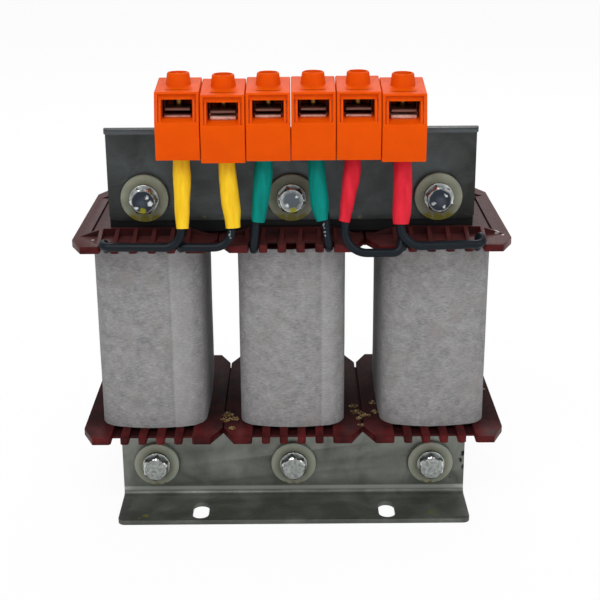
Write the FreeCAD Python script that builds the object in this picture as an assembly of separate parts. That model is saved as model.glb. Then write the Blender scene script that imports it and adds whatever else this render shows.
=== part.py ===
# A three-phase dv-dt filter: a laminated three-leg core with an air gap, three wound bobbins,
# four clamping brackets, six insulated bolts and a row of six terminal blocks on the upper bracket.
# Millimetres. X runs along the core, -Y faces the terminals, Z is up from the feet's lower face.
# The origin is on the mounting plane, under the middle of the core.

import FreeCAD, Part
import math
import os
from FreeCAD import Vector

os.makedirs("parts", exist_ok=True)

# Core
leg_pitch = 60.0
leg_width = 30.0
yoke_height = 30.0
stack_depth = 60.0
window_height = 90.0
core_above_ground = 2.0
air_gap = 0.8
core_hole_radius = 4.2

# Bobbins
bobbin_to_core = 0.3
bobbin_wall = 1.5
bobbin_shifts = (-0.25, -0.25, 0.2)
flange_thickness = 3.0
flange_overhang = 16.2
flange_to_yoke = 1.2
gap_between_flanges = 0.5
corner_cut_x = 4.75
corner_cut_y = 10.5
comb_gap_count = 5
comb_pitch = 7.6
comb_gap_width = 4.1
comb_gap_depth = 6.6
comb_tip_chamfer = 0.8
channel_depth = 2.0
collar_height = 3.3
collar_thickness = 2.1
collar_to_core = 0.5
collar_end_margin = 2.5
rib_thickness = 1.7
rib_reach = 11.0
pad_groove_width = 1.0
pad_groove_depth = 1.4
pad_groove_from_leg = 8.2
pad_groove_end_margin = 1.0

# Windings and their paper wrap
winding_thickness_side = 5.8
winding_thickness_front = 5.4
coil_crown_front = 4.2
coil_crown_side = 1.0
coil_corner_radius = 9.0
wrap_thickness = 0.5
wrap_clearance = 0.05
flap_thickness = 0.35
flap_length = 24.0
flap_reach_back = 25.2
wrap_seams = (13.2, 13.6, -21.4)
coil_below_flange = 1.6
coil_above_flange = 0.1

# Sheet brackets
sheet = 2.0
bend_radius = 2.0
foot_reach = 25.0
foot_corner_radius = 3.0
foot_slot_pitch = 80.0
foot_slot_width = 7.0
foot_slot_length = 14.0
foot_slot_from_face = 16.0
upper_plate_above_yoke_bottom = 5.3
upper_front_height = 39.0
upper_rear_height = 24.0
upper_corner_radius = 2.5
lip_reach = 6.0

# Clamping bolts, M6
bolt_diameter = 6.0
bolt_across_flats = 10.0
bolt_head_height = 4.0
bolt_end_proud = 2.5
nut_height = 5.0
bolt_end_chamfer = 0.6
hex_face_margin = 0.15
hex_chamfer_angle = 30.0
steel_washer_diameter = 12.0
steel_washer_thickness = 1.4
nylon_washer_diameter = 19.5
nylon_washer_thickness = 2.0
washer_hole_clearance = 0.2
insulating_sleeve_wall = 0.9
insulating_sleeve_clearance = 0.1

# Terminal blocks
block_pitch = 17.5
block_gap = 0.3
block_bottom_below_lip = 7.1
block_front_height = 26.0
block_depth = 22.6
block_to_plate = 0.8
brow_height = 11.4
sill_forward = 0.6
brow_back = 2.6
top_rise = 2.9
block_edge_radius = 0.5
lip_play = 0.9
lip_groove_play = 0.3
block_drops = (0.0, -0.5, 0.0, 0.2, 0.3, -0.4)
block_tilts = (-1.5, 0.6, 0.0, 0.0, 0.3, 0.8)
collar_base_radius = 5.1
collar_top_radius = 4.3
collar_rise = 4.6
collar_bore_radius = 3.6
collar_edge_chamfer = 0.4
screw_from_plate = 9.7
entry_frame_wall = 1.1
entry_frame_depth = 1.6
entry_frame_above_sill = 0.2
entry_brow_height = 0.8
entry_lip_wall = 0.8
entry_lip_proud = 0.9
entry_side_wall = 2.5
entry_mouth_bottom = 1.2
entry_mouth_height = 7.2
entry_floor_rise = 1.0
entry_floor_run = 3.0
cage_room_back = 5.3
cage_room_height = 9.5
lead_room_side_wall = 2.1
lead_room_front = 17.2
lead_room_back = 7.3
room_floor = 1.4
tool_mark_end_margin = 1.4
tool_mark_length = 0.6
tool_mark_depth = 0.5
tool_mark_from_screw = 7.9

# Metal of each terminal
bar_side_play = 1.1
bar_thickness = 1.2
bar_from_mouth = 5.4
cage_wall = 0.7
cage_length = 8.6
cage_top_thickness = 1.5
tag_shoulder = 1.0
tag_thickness = 1.0
tag_length = 12.8
press_plate_side_play = 0.2
press_plate_thickness = 1.0
press_plate_edge_chamfer = 0.3
press_plate_setback = 0.55
press_plate_above_bar = 2.2
terminal_screw_radius = 2.0
terminal_screw_head_radius = 3.2
terminal_screw_head_height = 2.4
terminal_screw_slot_width = 0.9
terminal_screw_slot_depth = 1.2
metal_play = 0.15
cage_head_play = 0.15

# Leads and their shrink sleeves
lead_diameter = 3.5
lead_end_from_plate = 10.5
lead_end_below_bar = 5.15
shrink_bore_clearance = 0.05
shrink_top_radius = 3.75
shrink_top_in_block = 3.3
shrink_parallel_share = 0.45

# How far a cutting shape runs past the face that it opens, how far a joined shape sinks in,
# and how near an edge lies to a place to count as found there
overcut = 1.0
weld = 0.5
nearness = 0.01

# Places that follow from the sizes above
half_core = leg_pitch + leg_width / 2
half_stack = stack_depth / 2
lower_yoke_top = core_above_ground + yoke_height
upper_yoke_bottom = lower_yoke_top + window_height
upper_yoke_top = upper_yoke_bottom + yoke_height
lower_bolt_height = core_above_ground + yoke_height / 2
upper_bolt_height = upper_yoke_bottom + yoke_height / 2
leg_places = (-leg_pitch, 0.0, leg_pitch)
leg_names = ("left", "middle", "right")
bobbin_places = [leg + shift for leg, shift in zip(leg_places, bobbin_shifts)]
plate_face = half_stack + sheet
lower_flange_bottom = lower_yoke_top + flange_to_yoke
lower_flange_top = lower_flange_bottom + flange_thickness
upper_flange_top = upper_yoke_bottom - flange_to_yoke
upper_flange_bottom = upper_flange_top - flange_thickness
half_flange_width = (leg_pitch - gap_between_flanges) / 2
tube_half_width = leg_width / 2 + bobbin_to_core + bobbin_wall
tube_half_depth = half_stack + bobbin_to_core + bobbin_wall
half_flange_depth = tube_half_depth + flange_overhang
wrap_room = 2 * wrap_clearance + wrap_thickness
half_coil_width = tube_half_width + winding_thickness_side + wrap_room
half_coil_depth = tube_half_depth + winding_thickness_front + wrap_room
coil_bottom = lower_flange_top + coil_above_flange
coil_top = upper_flange_bottom - coil_below_flange
comb_places = [(number - (comb_gap_count - 1) / 2) * comb_pitch for number in range(comb_gap_count)]
comb_half = comb_places[-1] + comb_gap_width / 2
upper_plate_bottom = upper_yoke_bottom + upper_plate_above_yoke_bottom
lip_top = upper_plate_bottom + upper_front_height
lip_bottom = lip_top - sheet
lip_front = plate_face + lip_reach
block_bottom = lip_bottom - block_bottom_below_lip
block_width = block_pitch - block_gap
sill_height = block_front_height - brow_height
block_places = [(number - (len(block_drops) - 1) / 2) * block_pitch for number in range(len(block_drops))]
mouth_half = block_width / 2 - entry_side_wall
bar_half = mouth_half - bar_side_play
block_back = plate_face + block_to_plate
block_front = block_back + block_depth
screw_place = plate_face + screw_from_plate
bar_front = block_front + sill_forward - bar_from_mouth
tag_back = plate_face + lead_room_back + metal_play


def box(low, high):
    size = Vector(*high) - Vector(*low)
    return Part.makeBox(size.x, size.y, size.z, Vector(*low))


def plate_from_outline(points, direction):
    corners = [Vector(*point) for point in points]
    outline = Part.makePolygon(corners + [corners[0]])
    return Part.Face(outline).extrude(direction)


def flat_in_z(points, low, high):
    return plate_from_outline([(x, y, low) for x, y in points], Vector(0, 0, high - low))


def flat_in_x(points, low, high):
    return plate_from_outline([(low, y, z) for y, z in points], Vector(high - low, 0, 0))


def flat_in_y(points, low, high):
    return plate_from_outline([(x, low, z) for x, z in points], Vector(0, high - low, 0))


def rod(radius, start, end):
    along = Vector(*end) - Vector(*start)
    return Part.makeCylinder(radius, along.Length, Vector(*start), along)


def moved_along(shape, x):
    copy = shape.copy()
    copy.translate(Vector(x, 0, 0))
    return copy


def turned_to_rear(shape):
    copy = shape.copy()
    copy.rotate(Vector(0, 0, 0), Vector(0, 0, 1), 180)
    return copy


def joined(shapes):
    return shapes[0].fuse(shapes[1:]).removeSplitter()


def upright_edges(shape, x=None, y=None):
    found = []
    for edge in shape.Edges:
        box_of_edge = edge.BoundBox
        upright = box_of_edge.ZLength > box_of_edge.XLength + box_of_edge.YLength
        at_x = x is None or abs(abs(box_of_edge.Center.x) - x) < nearness
        at_y = y is None or abs(abs(box_of_edge.Center.y) - y) < nearness
        if upright and at_x and at_y:
            found.append(edge)
    return found


def save(name, shape):
    for solid in shape.Solids:
        if not solid.isValid():
            print("not valid:", name)
    print(name, "solids", len(shape.Solids), "volume", round(shape.Volume, 1))
    shape.exportStep("parts/" + name + ".step")


def bolt_holes(height):
    reach = plate_face + overcut
    return [rod(core_hole_radius, (x, -reach, height), (x, reach, height)) for x in leg_places]


# Core: the lower pack has the legs, the upper pack closes it over the air gap


def lower_core_pack():
    leg_top = upper_yoke_bottom - air_gap
    yoke = box((-half_core, -half_stack, core_above_ground), (half_core, half_stack, lower_yoke_top))
    legs = []
    for x in leg_places:
        half = leg_width / 2
        leg = box((x - half, -half_stack, lower_yoke_top), (x + half, half_stack, leg_top))
        legs.append(leg)
    return joined([yoke] + legs).cut(bolt_holes(lower_bolt_height))


def upper_core_pack():
    yoke = box((-half_core, -half_stack, upper_yoke_bottom), (half_core, half_stack, upper_yoke_top))
    return yoke.cut(bolt_holes(upper_bolt_height))


def gap_spacer(x):
    half = leg_width / 2
    low = (x - half, -half_stack, upper_yoke_bottom - air_gap)
    return box(low, (x + half, half_stack, upper_yoke_bottom))


# Bobbin: a square tube between two flanges, each with a comb of gaps at both ends


def flange_plate(bottom):
    side = half_flange_width
    front = half_flange_depth
    corner_x = side - corner_cut_x
    corner_y = front - corner_cut_y
    outline = [(-corner_x, -front), (corner_x, -front), (side, -corner_y), (side, corner_y)]
    outline = outline + [(-x, -y) for x, y in outline]
    plate = flat_in_z(outline, bottom, bottom + flange_thickness)
    gaps = []
    for x in comb_places:
        gap = box((x - comb_gap_width / 2, -front - overcut, bottom - overcut),
                  (x + comb_gap_width / 2, -front + comb_gap_depth, bottom + flange_thickness + overcut))
        gaps.append(gap)
        gaps.append(turned_to_rear(gap))
    plate = plate.cut(gaps)
    tips = [edge for edge in upright_edges(plate, y=front) if abs(edge.BoundBox.Center.x) < comb_half + weld]
    return plate.makeChamfer(comb_tip_chamfer, tips)


def flange_channels(low, high):
    channels = []
    for x in comb_places:
        channel = box((x - comb_gap_width / 2, -half_flange_depth, low),
                      (x + comb_gap_width / 2, -tube_half_depth, high))
        channels.append(channel)
        channels.append(turned_to_rear(channel))
    return channels


def collar_and_ribs():
    back = half_stack + collar_to_core
    front = back + collar_thickness
    root = upper_flange_top - flange_thickness / 2
    top = upper_flange_top + collar_height
    end_half = half_flange_width - collar_end_margin
    outline = [(-end_half, root), (-end_half, upper_flange_top), (-comb_half, top),
               (comb_half, top), (end_half, upper_flange_top), (end_half, root)]
    pieces = [flat_in_y(outline, -front, -back)]
    rib_places = [x + comb_pitch / 2 for x in comb_places[:-1]]
    wing_rib = comb_half + rib_thickness / 2
    for x in rib_places + [-wing_rib, wing_rib]:
        profile = [(-front + weld, root), (-front + weld, top), (-front, top),
                   (-front - rib_reach, upper_flange_top), (-front - rib_reach, root)]
        pieces.append(flat_in_x(profile, x - rib_thickness / 2, x + rib_thickness / 2))
    return pieces + [turned_to_rear(piece) for piece in pieces]


def bobbin():
    tube = box((-tube_half_width, -tube_half_depth, lower_flange_bottom),
               (tube_half_width, tube_half_depth, upper_flange_top))
    lower = flange_plate(lower_flange_bottom)
    lower = lower.cut(flange_channels(lower_flange_top - channel_depth, lower_flange_top + overcut))
    upper = flange_plate(upper_flange_bottom)
    upper = upper.cut(flange_channels(upper_flange_bottom - overcut, upper_flange_bottom + channel_depth))
    groove_place = leg_width / 2 + pad_groove_from_leg
    groove_reach = half_stack - pad_groove_end_margin
    grooves = []
    for x in (-groove_place, groove_place):
        half = pad_groove_width / 2
        groove = box((x - half, -groove_reach, upper_flange_top - pad_groove_depth),
                     (x + half, groove_reach, upper_flange_top + overcut))
        grooves.append(groove)
    upper = upper.cut(grooves)
    body = tube.fuse([lower, upper] + collar_and_ribs())
    hole_half_width = leg_width / 2 + bobbin_to_core
    hole_half_depth = half_stack + bobbin_to_core
    hole = box((-hole_half_width, -hole_half_depth, lower_flange_bottom - overcut),
               (hole_half_width, hole_half_depth, upper_flange_top + collar_height + overcut))
    return body.cut(hole).removeSplitter()


# Winding and wrap: a crowned oblong, rounded at its corners


def coil_block(inset, low, high):
    x = half_coil_width - inset
    y = half_coil_depth - inset
    corner_x = x - coil_crown_side
    corner_y = y - coil_crown_front
    corners = [Vector(-corner_x, -corner_y, low), Vector(corner_x, -corner_y, low),
               Vector(corner_x, corner_y, low), Vector(-corner_x, corner_y, low)]
    crowns = [Vector(0, -y, low), Vector(x, 0, low), Vector(0, y, low), Vector(-x, 0, low)]
    edges = []
    for number, crown in enumerate(crowns):
        following = corners[(number + 1) % len(corners)]
        edges.append(Part.Arc(corners[number], crown, following).toShape())
    block = Part.Face(Part.Wire(edges)).extrude(Vector(0, 0, high - low))
    radius = coil_corner_radius - inset
    return block.makeFillet(radius, upright_edges(block, x=corner_x, y=corner_y))


def winding():
    inset = wrap_thickness + wrap_clearance
    copper = coil_block(inset, coil_bottom, coil_top)
    hole = box((-tube_half_width - wrap_clearance, -tube_half_depth - wrap_clearance, coil_bottom - overcut),
               (tube_half_width + wrap_clearance, tube_half_depth + wrap_clearance, coil_top + overcut))
    return copper.cut(hole)


def paper_wrap(seam):
    outer = coil_block(0, coil_bottom, coil_top)
    inner = coil_block(wrap_thickness, coil_bottom - overcut, coil_top + overcut)
    flap_outer = coil_block(-flap_thickness, coil_bottom, coil_top)
    flap_window = box((seam, -half_coil_depth - overcut, coil_bottom),
                      (seam + flap_length, -half_coil_depth + flap_reach_back, coil_top))
    flap = flap_outer.common(flap_window)
    return outer.fuse(flap).cut(inner).removeSplitter()


# Brackets: bent sheet, feet at the bottom, a hooked lip at the upper front


def bent_sheet(height_low, height_high, reach, bend_at_top):
    inner = plate_face
    back = half_stack
    turn = bend_radius + sheet
    diagonal = 1 - math.sqrt(0.5)
    if bend_at_top:
        corner = height_high
        way = -1
        end = height_low
    else:
        corner = height_low
        way = 1
        end = height_high
    points = {
        "tip_out": (-(inner + reach), corner),
        "out_start": (-(back + turn), corner),
        "out_middle": (-(back + turn * diagonal), corner + way * turn * diagonal),
        "out_end": (-back, corner + way * turn),
        "edge_back": (-back, end),
        "edge_front": (-inner, end),
        "in_start": (-inner, corner + way * (sheet + bend_radius)),
        "in_middle": (-(inner + bend_radius * diagonal), corner + way * (sheet + bend_radius * diagonal)),
        "in_end": (-(inner + bend_radius), corner + way * sheet),
        "tip_in": (-(inner + reach), corner + way * sheet),
    }
    at = {}
    for name, place in points.items():
        at[name] = Vector(-half_core, place[0], place[1])
    edges = [
        Part.makeLine(at["tip_out"], at["out_start"]),
        Part.Arc(at["out_start"], at["out_middle"], at["out_end"]).toShape(),
        Part.makeLine(at["out_end"], at["edge_back"]),
        Part.makeLine(at["edge_back"], at["edge_front"]),
        Part.makeLine(at["edge_front"], at["in_start"]),
        Part.Arc(at["in_start"], at["in_middle"], at["in_end"]).toShape(),
        Part.makeLine(at["in_end"], at["tip_in"]),
        Part.makeLine(at["tip_in"], at["tip_out"]),
    ]
    return Part.Face(Part.Wire(edges)).extrude(Vector(2 * half_core, 0, 0))


def slot_cutter(x, y_middle, width, length, low, high):
    straight = length - width
    near = Vector(x, y_middle - straight / 2, low)
    far = Vector(x, y_middle + straight / 2, low)
    middle = box((x - width / 2, near.y, low), (x + width / 2, far.y, high))
    ends = [Part.makeCylinder(width / 2, high - low, place) for place in (near, far)]
    return middle.fuse(ends).removeSplitter()


def lower_bracket():
    body = bent_sheet(0.0, lower_yoke_top, foot_reach, False)
    tip = plate_face + foot_reach
    body = body.makeFillet(foot_corner_radius, upright_edges(body, x=half_core, y=tip))
    cuts = bolt_holes(lower_bolt_height)
    for x in (-foot_slot_pitch / 2, foot_slot_pitch / 2):
        y_middle = -(plate_face + foot_slot_from_face)
        cuts.append(slot_cutter(x, y_middle, foot_slot_width, foot_slot_length, -overcut, sheet + overcut))
    return body.cut(cuts)


def corners_across_y(shape, x, z):
    found = []
    for edge in shape.Edges:
        middle = edge.BoundBox.Center
        along_y = edge.BoundBox.YLength > edge.BoundBox.XLength + edge.BoundBox.ZLength
        if along_y and abs(abs(middle.x) - x) < nearness and abs(middle.z - z) < nearness:
            found.append(edge)
    return found


def upper_front_bracket():
    body = bent_sheet(upper_plate_bottom, lip_top, lip_reach, True)
    body = body.makeFillet(upper_corner_radius, upright_edges(body, x=half_core, y=lip_front))
    body = body.makeFillet(upper_corner_radius, corners_across_y(body, half_core, upper_plate_bottom))
    return body.cut(bolt_holes(upper_bolt_height))


def upper_rear_bracket():
    top = upper_plate_bottom + upper_rear_height
    body = box((-half_core, half_stack, upper_plate_bottom), (half_core, plate_face, top))
    corners = corners_across_y(body, half_core, upper_plate_bottom)
    corners = corners + corners_across_y(body, half_core, top)
    return body.makeFillet(upper_corner_radius, corners).cut(bolt_holes(upper_bolt_height))


# Fasteners, each set in the order it stacks on the bracket


def hexagon(across_flats, low, high):
    radius = across_flats / math.sqrt(3)
    corners = []
    for number in range(6):
        angle = math.radians(60 * number + 30)
        corners.append((radius * math.cos(angle), radius * math.sin(angle)))
    return flat_in_z(corners, low, high)


def rounded_hexagon(across_flats, height):
    flat_radius = across_flats / 2 - hex_face_margin
    corner_radius = across_flats / math.sqrt(3) + hex_face_margin
    rise = (corner_radius - flat_radius) * math.tan(math.radians(hex_chamfer_angle))
    profile = [(0, 0), (corner_radius, 0), (corner_radius, height - rise), (flat_radius, height), (0, height)]
    corners = [Vector(r, 0, z) for r, z in profile]
    outline = Part.Face(Part.makePolygon(corners + [corners[0]]))
    limit = outline.revolve(Vector(0, 0, 0), Vector(0, 0, 1), 360)
    return hexagon(across_flats, 0, height).common(limit)


def washer(outer_radius, hole_radius, thickness):
    disc = Part.makeCylinder(outer_radius, thickness)
    return disc.cut(Part.makeCylinder(hole_radius, thickness))


def facing_front(shape, x, y, z):
    copy = shape.copy()
    copy.rotate(Vector(0, 0, 0), Vector(1, 0, 0), 90)
    copy.translate(Vector(x, -y, z))
    return copy


lower_spots = [(x, lower_bolt_height) for x in leg_places]
upper_spots = [(x, upper_bolt_height) for x in leg_places]
bolt_spots = lower_spots + upper_spots
nylon_face = plate_face + nylon_washer_thickness
seat_face = nylon_face + steel_washer_thickness


def bolt(x, z):
    head = rounded_hexagon(bolt_across_flats, bolt_head_height)
    length = 2 * seat_face + nut_height + bolt_end_proud
    shank = rod(bolt_diameter / 2, (0, 0, -length), (0, 0, 0))
    end = Part.makeCone(bolt_diameter / 2 - bolt_end_chamfer, bolt_diameter / 2, bolt_end_chamfer,
                        Vector(0, 0, -length - bolt_end_chamfer))
    return facing_front(joined([head, shank, end]), x, seat_face, z)


def nut(x, z):
    body = rounded_hexagon(bolt_across_flats, nut_height)
    body = body.cut(Part.makeCylinder(bolt_diameter / 2, nut_height))
    return turned_to_rear(facing_front(body, -x, seat_face, z))


def washer_set(outer_diameter, thickness, seat, rear):
    shape = washer(outer_diameter / 2, bolt_diameter / 2 + washer_hole_clearance, thickness)
    placed = [facing_front(shape, x, seat, z) for x, z in bolt_spots]
    if rear:
        placed = [turned_to_rear(piece) for piece in placed]
    return placed


def insulating_sleeve(x, z):
    outer = core_hole_radius - insulating_sleeve_clearance
    tube = washer(outer, outer - insulating_sleeve_wall, 2 * plate_face)
    return facing_front(tube, x, -plate_face, z)


# Terminal block, built round x = 0 and then set on the lip


def front_line(height):
    share = min(1, max(0, (height - sill_height) / brow_height))
    return -(block_front + sill_forward * (1 - share) - brow_back * share)


def block_top(y):
    share = (y + block_front - brow_back) / (block_front - brow_back - block_back)
    return block_bottom + block_front_height + top_rise * share


def along_front(low, high, inner_depth, outer_depth, half_width):
    profile = [(front_line(low) + inner_depth, block_bottom + low),
               (front_line(high) + inner_depth, block_bottom + high),
               (front_line(high) + outer_depth, block_bottom + high),
               (front_line(low) + outer_depth, block_bottom + low)]
    return flat_in_x(profile, -half_width, half_width)


def block_body():
    half = block_width / 2
    top_back = block_bottom + block_front_height + top_rise
    profile = [(-block_back, block_bottom), (-block_front, block_bottom),
               (front_line(sill_height), block_bottom + sill_height),
               (front_line(block_front_height), block_bottom + block_front_height),
               (-block_back, top_back)]
    body = flat_in_x(profile, -half, half)
    seen = []
    for edge in body.Edges:
        middle = edge.BoundBox.Center
        at_back = edge.BoundBox.YMax > -block_back - weld and edge.BoundBox.YLength < weld
        at_bottom = edge.BoundBox.ZMax < block_bottom + weld
        at_sill = abs(middle.z - block_bottom - sill_height) < weld
        if not (at_back or at_bottom or at_sill):
            seen.append(edge)
    return body.makeFillet(block_edge_radius, seen)


def block_collar():
    foot = block_top(-screw_place - collar_base_radius) - weld
    top = block_top(-screw_place) + collar_rise
    cone = Part.makeCone(collar_base_radius, collar_top_radius, top - foot, Vector(0, -screw_place, foot))
    rim = [edge for edge in cone.Edges if edge.BoundBox.ZMin > top - weld]
    return cone.makeChamfer(collar_edge_chamfer, rim)


def wire_entry():
    half = block_width / 2
    frame_half = half - entry_frame_wall
    lip_half = mouth_half + entry_lip_wall
    mouth_low = sill_height + entry_mouth_bottom
    mouth_high = mouth_low + entry_mouth_height
    frame_low = sill_height + entry_frame_above_sill
    frame_high = block_front_height - entry_brow_height
    lip_depth = entry_frame_depth - entry_lip_proud
    recess = along_front(frame_low, frame_high, -overcut, lip_depth, frame_half)
    lintel = along_front(mouth_high, frame_high, lip_depth - weld, entry_frame_depth, frame_half)
    groove_depth = 2 * entry_frame_depth
    left_groove = along_front(frame_low, mouth_high, lip_depth - weld, groove_depth, frame_half)
    left_groove = left_groove.cut(box((-lip_half, -block_front - overcut, block_bottom),
                                      (half, -screw_place, block_bottom + block_front_height)))
    right_groove = left_groove.mirror(Vector(0, 0, 0), Vector(1, 0, 0))
    room_low = block_bottom + mouth_low
    far_front = -block_front - sill_forward - overcut
    ramp_profile = [(front_line(mouth_low) + entry_floor_run, room_low),
                    (front_line(mouth_low), room_low - entry_floor_rise),
                    (far_front, room_low - entry_floor_rise),
                    (far_front, room_low + weld),
                    (front_line(mouth_low) + entry_floor_run, room_low + weld)]
    ramp = flat_in_x(ramp_profile, -mouth_half, mouth_half)
    mouth = box((-mouth_half, far_front, room_low), (mouth_half, -bar_front, block_bottom + mouth_high))
    return [recess, lintel, left_groove, right_groove, ramp, mouth]


def terminal_housing():
    half = block_width / 2
    room_low = terminal_levels()[0]
    room_high = room_low + cage_room_height
    above = room_high + 2 * collar_rise + block_front_height
    room = box((-mouth_half, -bar_front - weld, room_low), (mouth_half, -plate_face - cage_room_back, room_high))
    bore = rod(collar_bore_radius, (0, -screw_place, room_high - weld), (0, -screw_place, above))
    lead_half = half - lead_room_side_wall
    lead_room = box((-lead_half, -plate_face - lead_room_front, block_bottom - overcut),
                    (lead_half, -plate_face - lead_room_back, room_low - room_floor))
    slot_half = bar_half + metal_play
    tag_slot = box((-slot_half, -tag_back - tag_thickness - metal_play, room_low - room_floor - weld),
                   (slot_half, -tag_back + metal_play, room_low + weld))
    lip_groove = box((-half - overcut, -lip_front - lip_groove_play, lip_bottom - lip_play),
                     (half + overcut, -block_back + overcut, lip_top + lip_play))
    mark_place = -screw_place - tool_mark_from_screw
    mark_half = mouth_half - tool_mark_end_margin
    tool_mark = box((-mark_half, mark_place - tool_mark_length / 2, block_top(mark_place) - tool_mark_depth),
                    (mark_half, mark_place + tool_mark_length / 2, above))
    body = block_body().fuse(block_collar())
    for cut in wire_entry() + [room, bore, lead_room, tag_slot, lip_groove, tool_mark]:
        body = body.cut(cut)
    return body.removeSplitter()


def terminal_levels():
    room_low = block_bottom + sill_height + entry_mouth_bottom
    bar_low = room_low + metal_play
    return room_low, bar_low, bar_low + bar_thickness


def clamp_frame():
    room_low, bar_low, bar_top = terminal_levels()
    half = bar_half
    bar = box((-half, -bar_front + metal_play, bar_low), (half, -tag_back, bar_top))
    tag_half = half - tag_shoulder
    tag = box((-tag_half, -tag_back - tag_thickness, bar_top - tag_length), (tag_half, -tag_back, bar_top))
    cage_front = -screw_place - cage_length / 2
    cage_back = -screw_place + cage_length / 2
    cage_top = room_low + cage_room_height - metal_play
    cage = box((-half - cage_wall, cage_front, bar_low), (half + cage_wall, cage_back, cage_top))
    inside = box((-half, cage_front - overcut, bar_top),
                 (half, cage_back + overcut, cage_top - cage_top_thickness))
    screw_hole = rod(terminal_screw_radius, (0, -screw_place, bar_top + weld),
                     (0, -screw_place, cage_top + overcut))
    return joined([bar, tag, cage.cut(inside)]).cut(screw_hole)


def press_plate():
    bar_top = terminal_levels()[2]
    low = bar_top + press_plate_above_bar - press_plate_thickness
    half = bar_half - press_plate_side_play
    blank = box((-half, -bar_front + press_plate_setback, low), (half, -tag_back, low + press_plate_thickness))
    long_edges = [edge for edge in blank.Edges if edge.BoundBox.XLength > half]
    return blank.makeChamfer(press_plate_edge_chamfer, long_edges)


def terminal_screw():
    room_low, bar_low, bar_top = terminal_levels()
    low = bar_top + press_plate_above_bar
    head_low = room_low + cage_room_height - metal_play + cage_head_play
    head_high = head_low + terminal_screw_head_height
    shank = rod(terminal_screw_radius, (0, -screw_place, low), (0, -screw_place, head_low))
    head = rod(terminal_screw_head_radius, (0, -screw_place, head_low), (0, -screw_place, head_high))
    reach = terminal_screw_head_radius + overcut
    slot = box((-reach, -screw_place - terminal_screw_slot_width / 2, head_high - terminal_screw_slot_depth),
               (reach, -screw_place + terminal_screw_slot_width / 2, head_high + overcut))
    return shank.fuse(head).removeSplitter().cut(slot)


def set_on_lip(shape, number):
    copy = shape.copy()
    lip_middle = Vector(0, -(plate_face + lip_front) / 2, (lip_top + lip_bottom) / 2)
    copy.rotate(lip_middle, Vector(1, 0, 0), block_tilts[number])
    copy.translate(Vector(block_places[number], 0, block_drops[number]))
    return copy


# Leads: each starts on its winding, leaves through the outer gap of a comb and rises to its terminal.
# A point is x, y, z and the bend radius there. The first points lie beside the comb gap and the next
# beside the terminal: x from the middle of either, y and z from the flange's front and lower face.
# The end is x from the middle of the terminal.

lead_routes = [
    {"gap": [(0.0, 14.5, 0.2, 0), (0.0, 5.3, 0.2, 4.0), (0.0, 1.6, 4.2, 2.4), (-0.8, -3.1, 3.8, 2.8)],
     "terminal": [(-0.2, -4.3, 3.8, 7.0)],
     "end": 0.45},
    {"gap": [(0.0, 14.5, 0.2, 0), (0.0, 5.3, 0.2, 4.0), (0.0, 1.6, 4.2, 2.2), (0.4, -1.9, 3.2, 2.2),
             (8.5, -3.2, 3.5, 14.0)],
     "terminal": [(2.65, -3.2, 3.5, 7.3)],
     "end": 0.65},
    {"gap": [(0.0, 14.5, 0.2, 0), (0.0, 1.8, 0.2, 3.5), (0.7, 0.6, 8.2, 20.0)],
     "terminal": [],
     "end": -1.25},
    {"gap": [(0.0, 14.5, 0.2, 0), (0.0, 5.6, 0.2, 3.0), (-0.1, 1.4, 2.4, 3.0), (-0.9, 0.6, 9.2, 20.0)],
     "terminal": [],
     "end": 0.85},
    {"gap": [(0.0, 14.5, 0.2, 0), (0.0, 3.5, 0.2, 3.2), (0.0, 3.5, 6.4, 2.2), (-0.5, -0.5, 6.1, 2.2),
             (-1.9, -2.9, 0.7, 3.4)],
     "terminal": [(-5.95, -3.1, 0.7, 9.0)],
     "end": -1.05},
    {"gap": [(0.0, 14.5, 0.2, 0), (0.0, 3.3, 0.2, 3.2), (0.0, 3.1, 7.2, 2.2), (1.4, -3.2, 4.2, 2.6)],
     "terminal": [(-0.85, -4.6, 3.7, 8.8)],
     "end": 0.45},
]
# For each lead, its sleeve's lower end above the flange's lower face, and the radius there
shrink_sleeves = ((10.8, 2.45), (10.8, 3.15), (12.5, 2.6), (13.2, 3.05), (12.8, 2.7), (12.4, 3.5))


def lead_points(number):
    route = lead_routes[number]
    gap_side = (-1, 1)[number % 2]
    gap_place = bobbin_places[number // 2] + gap_side * comb_places[-1]
    points = []
    for place, corners in ((gap_place, route["gap"]), (block_places[number], route["terminal"])):
        for x, y, z, radius in corners:
            points.append((place + x, y - half_flange_depth, upper_flange_bottom + z, radius))
    end = (block_places[number] + route["end"], -(plate_face + lead_end_from_plate),
           terminal_levels()[1] - lead_end_below_bar, 0)
    return points + [end]


def lead_path(points):
    edges = []
    cursor = Vector(*points[0][:3])
    radii = []
    for number in range(1, len(points) - 1):
        corner = Vector(*points[number][:3])
        radius = points[number][3]
        before = (cursor - corner).normalize()
        after = (Vector(*points[number + 1][:3]) - corner).normalize()
        half_turn = (math.pi - before.getAngle(after)) / 2
        setback = radius * math.tan(half_turn)
        start = corner + before * setback
        end = corner + after * setback
        inward = (before + after).normalize()
        middle = corner + inward * (radius / math.cos(half_turn) - radius)
        edges.append(Part.LineSegment(cursor, start).toShape())
        edges.append(Part.Arc(start, middle, end).toShape())
        cursor = end
        radii.append(round(radius, 1))
    edges.append(Part.LineSegment(cursor, Vector(*points[-1][:3])).toShape())
    return Part.Wire(edges), radii


def lead(number):
    points = lead_points(number)
    path, radii = lead_path(points)
    start = Vector(*points[0][:3])
    heading = Vector(*points[1][:3]) - start
    section = Part.Wire(Part.makeCircle(lead_diameter / 2, start, heading))
    tube = path.makePipeShell([section], True, False)
    expected = math.pi * lead_diameter ** 2 / 4 * path.Length
    print("length", round(path.Length, 1), "radii", radii, "volume share", round(tube.Volume / expected, 4))
    return tube


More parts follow.
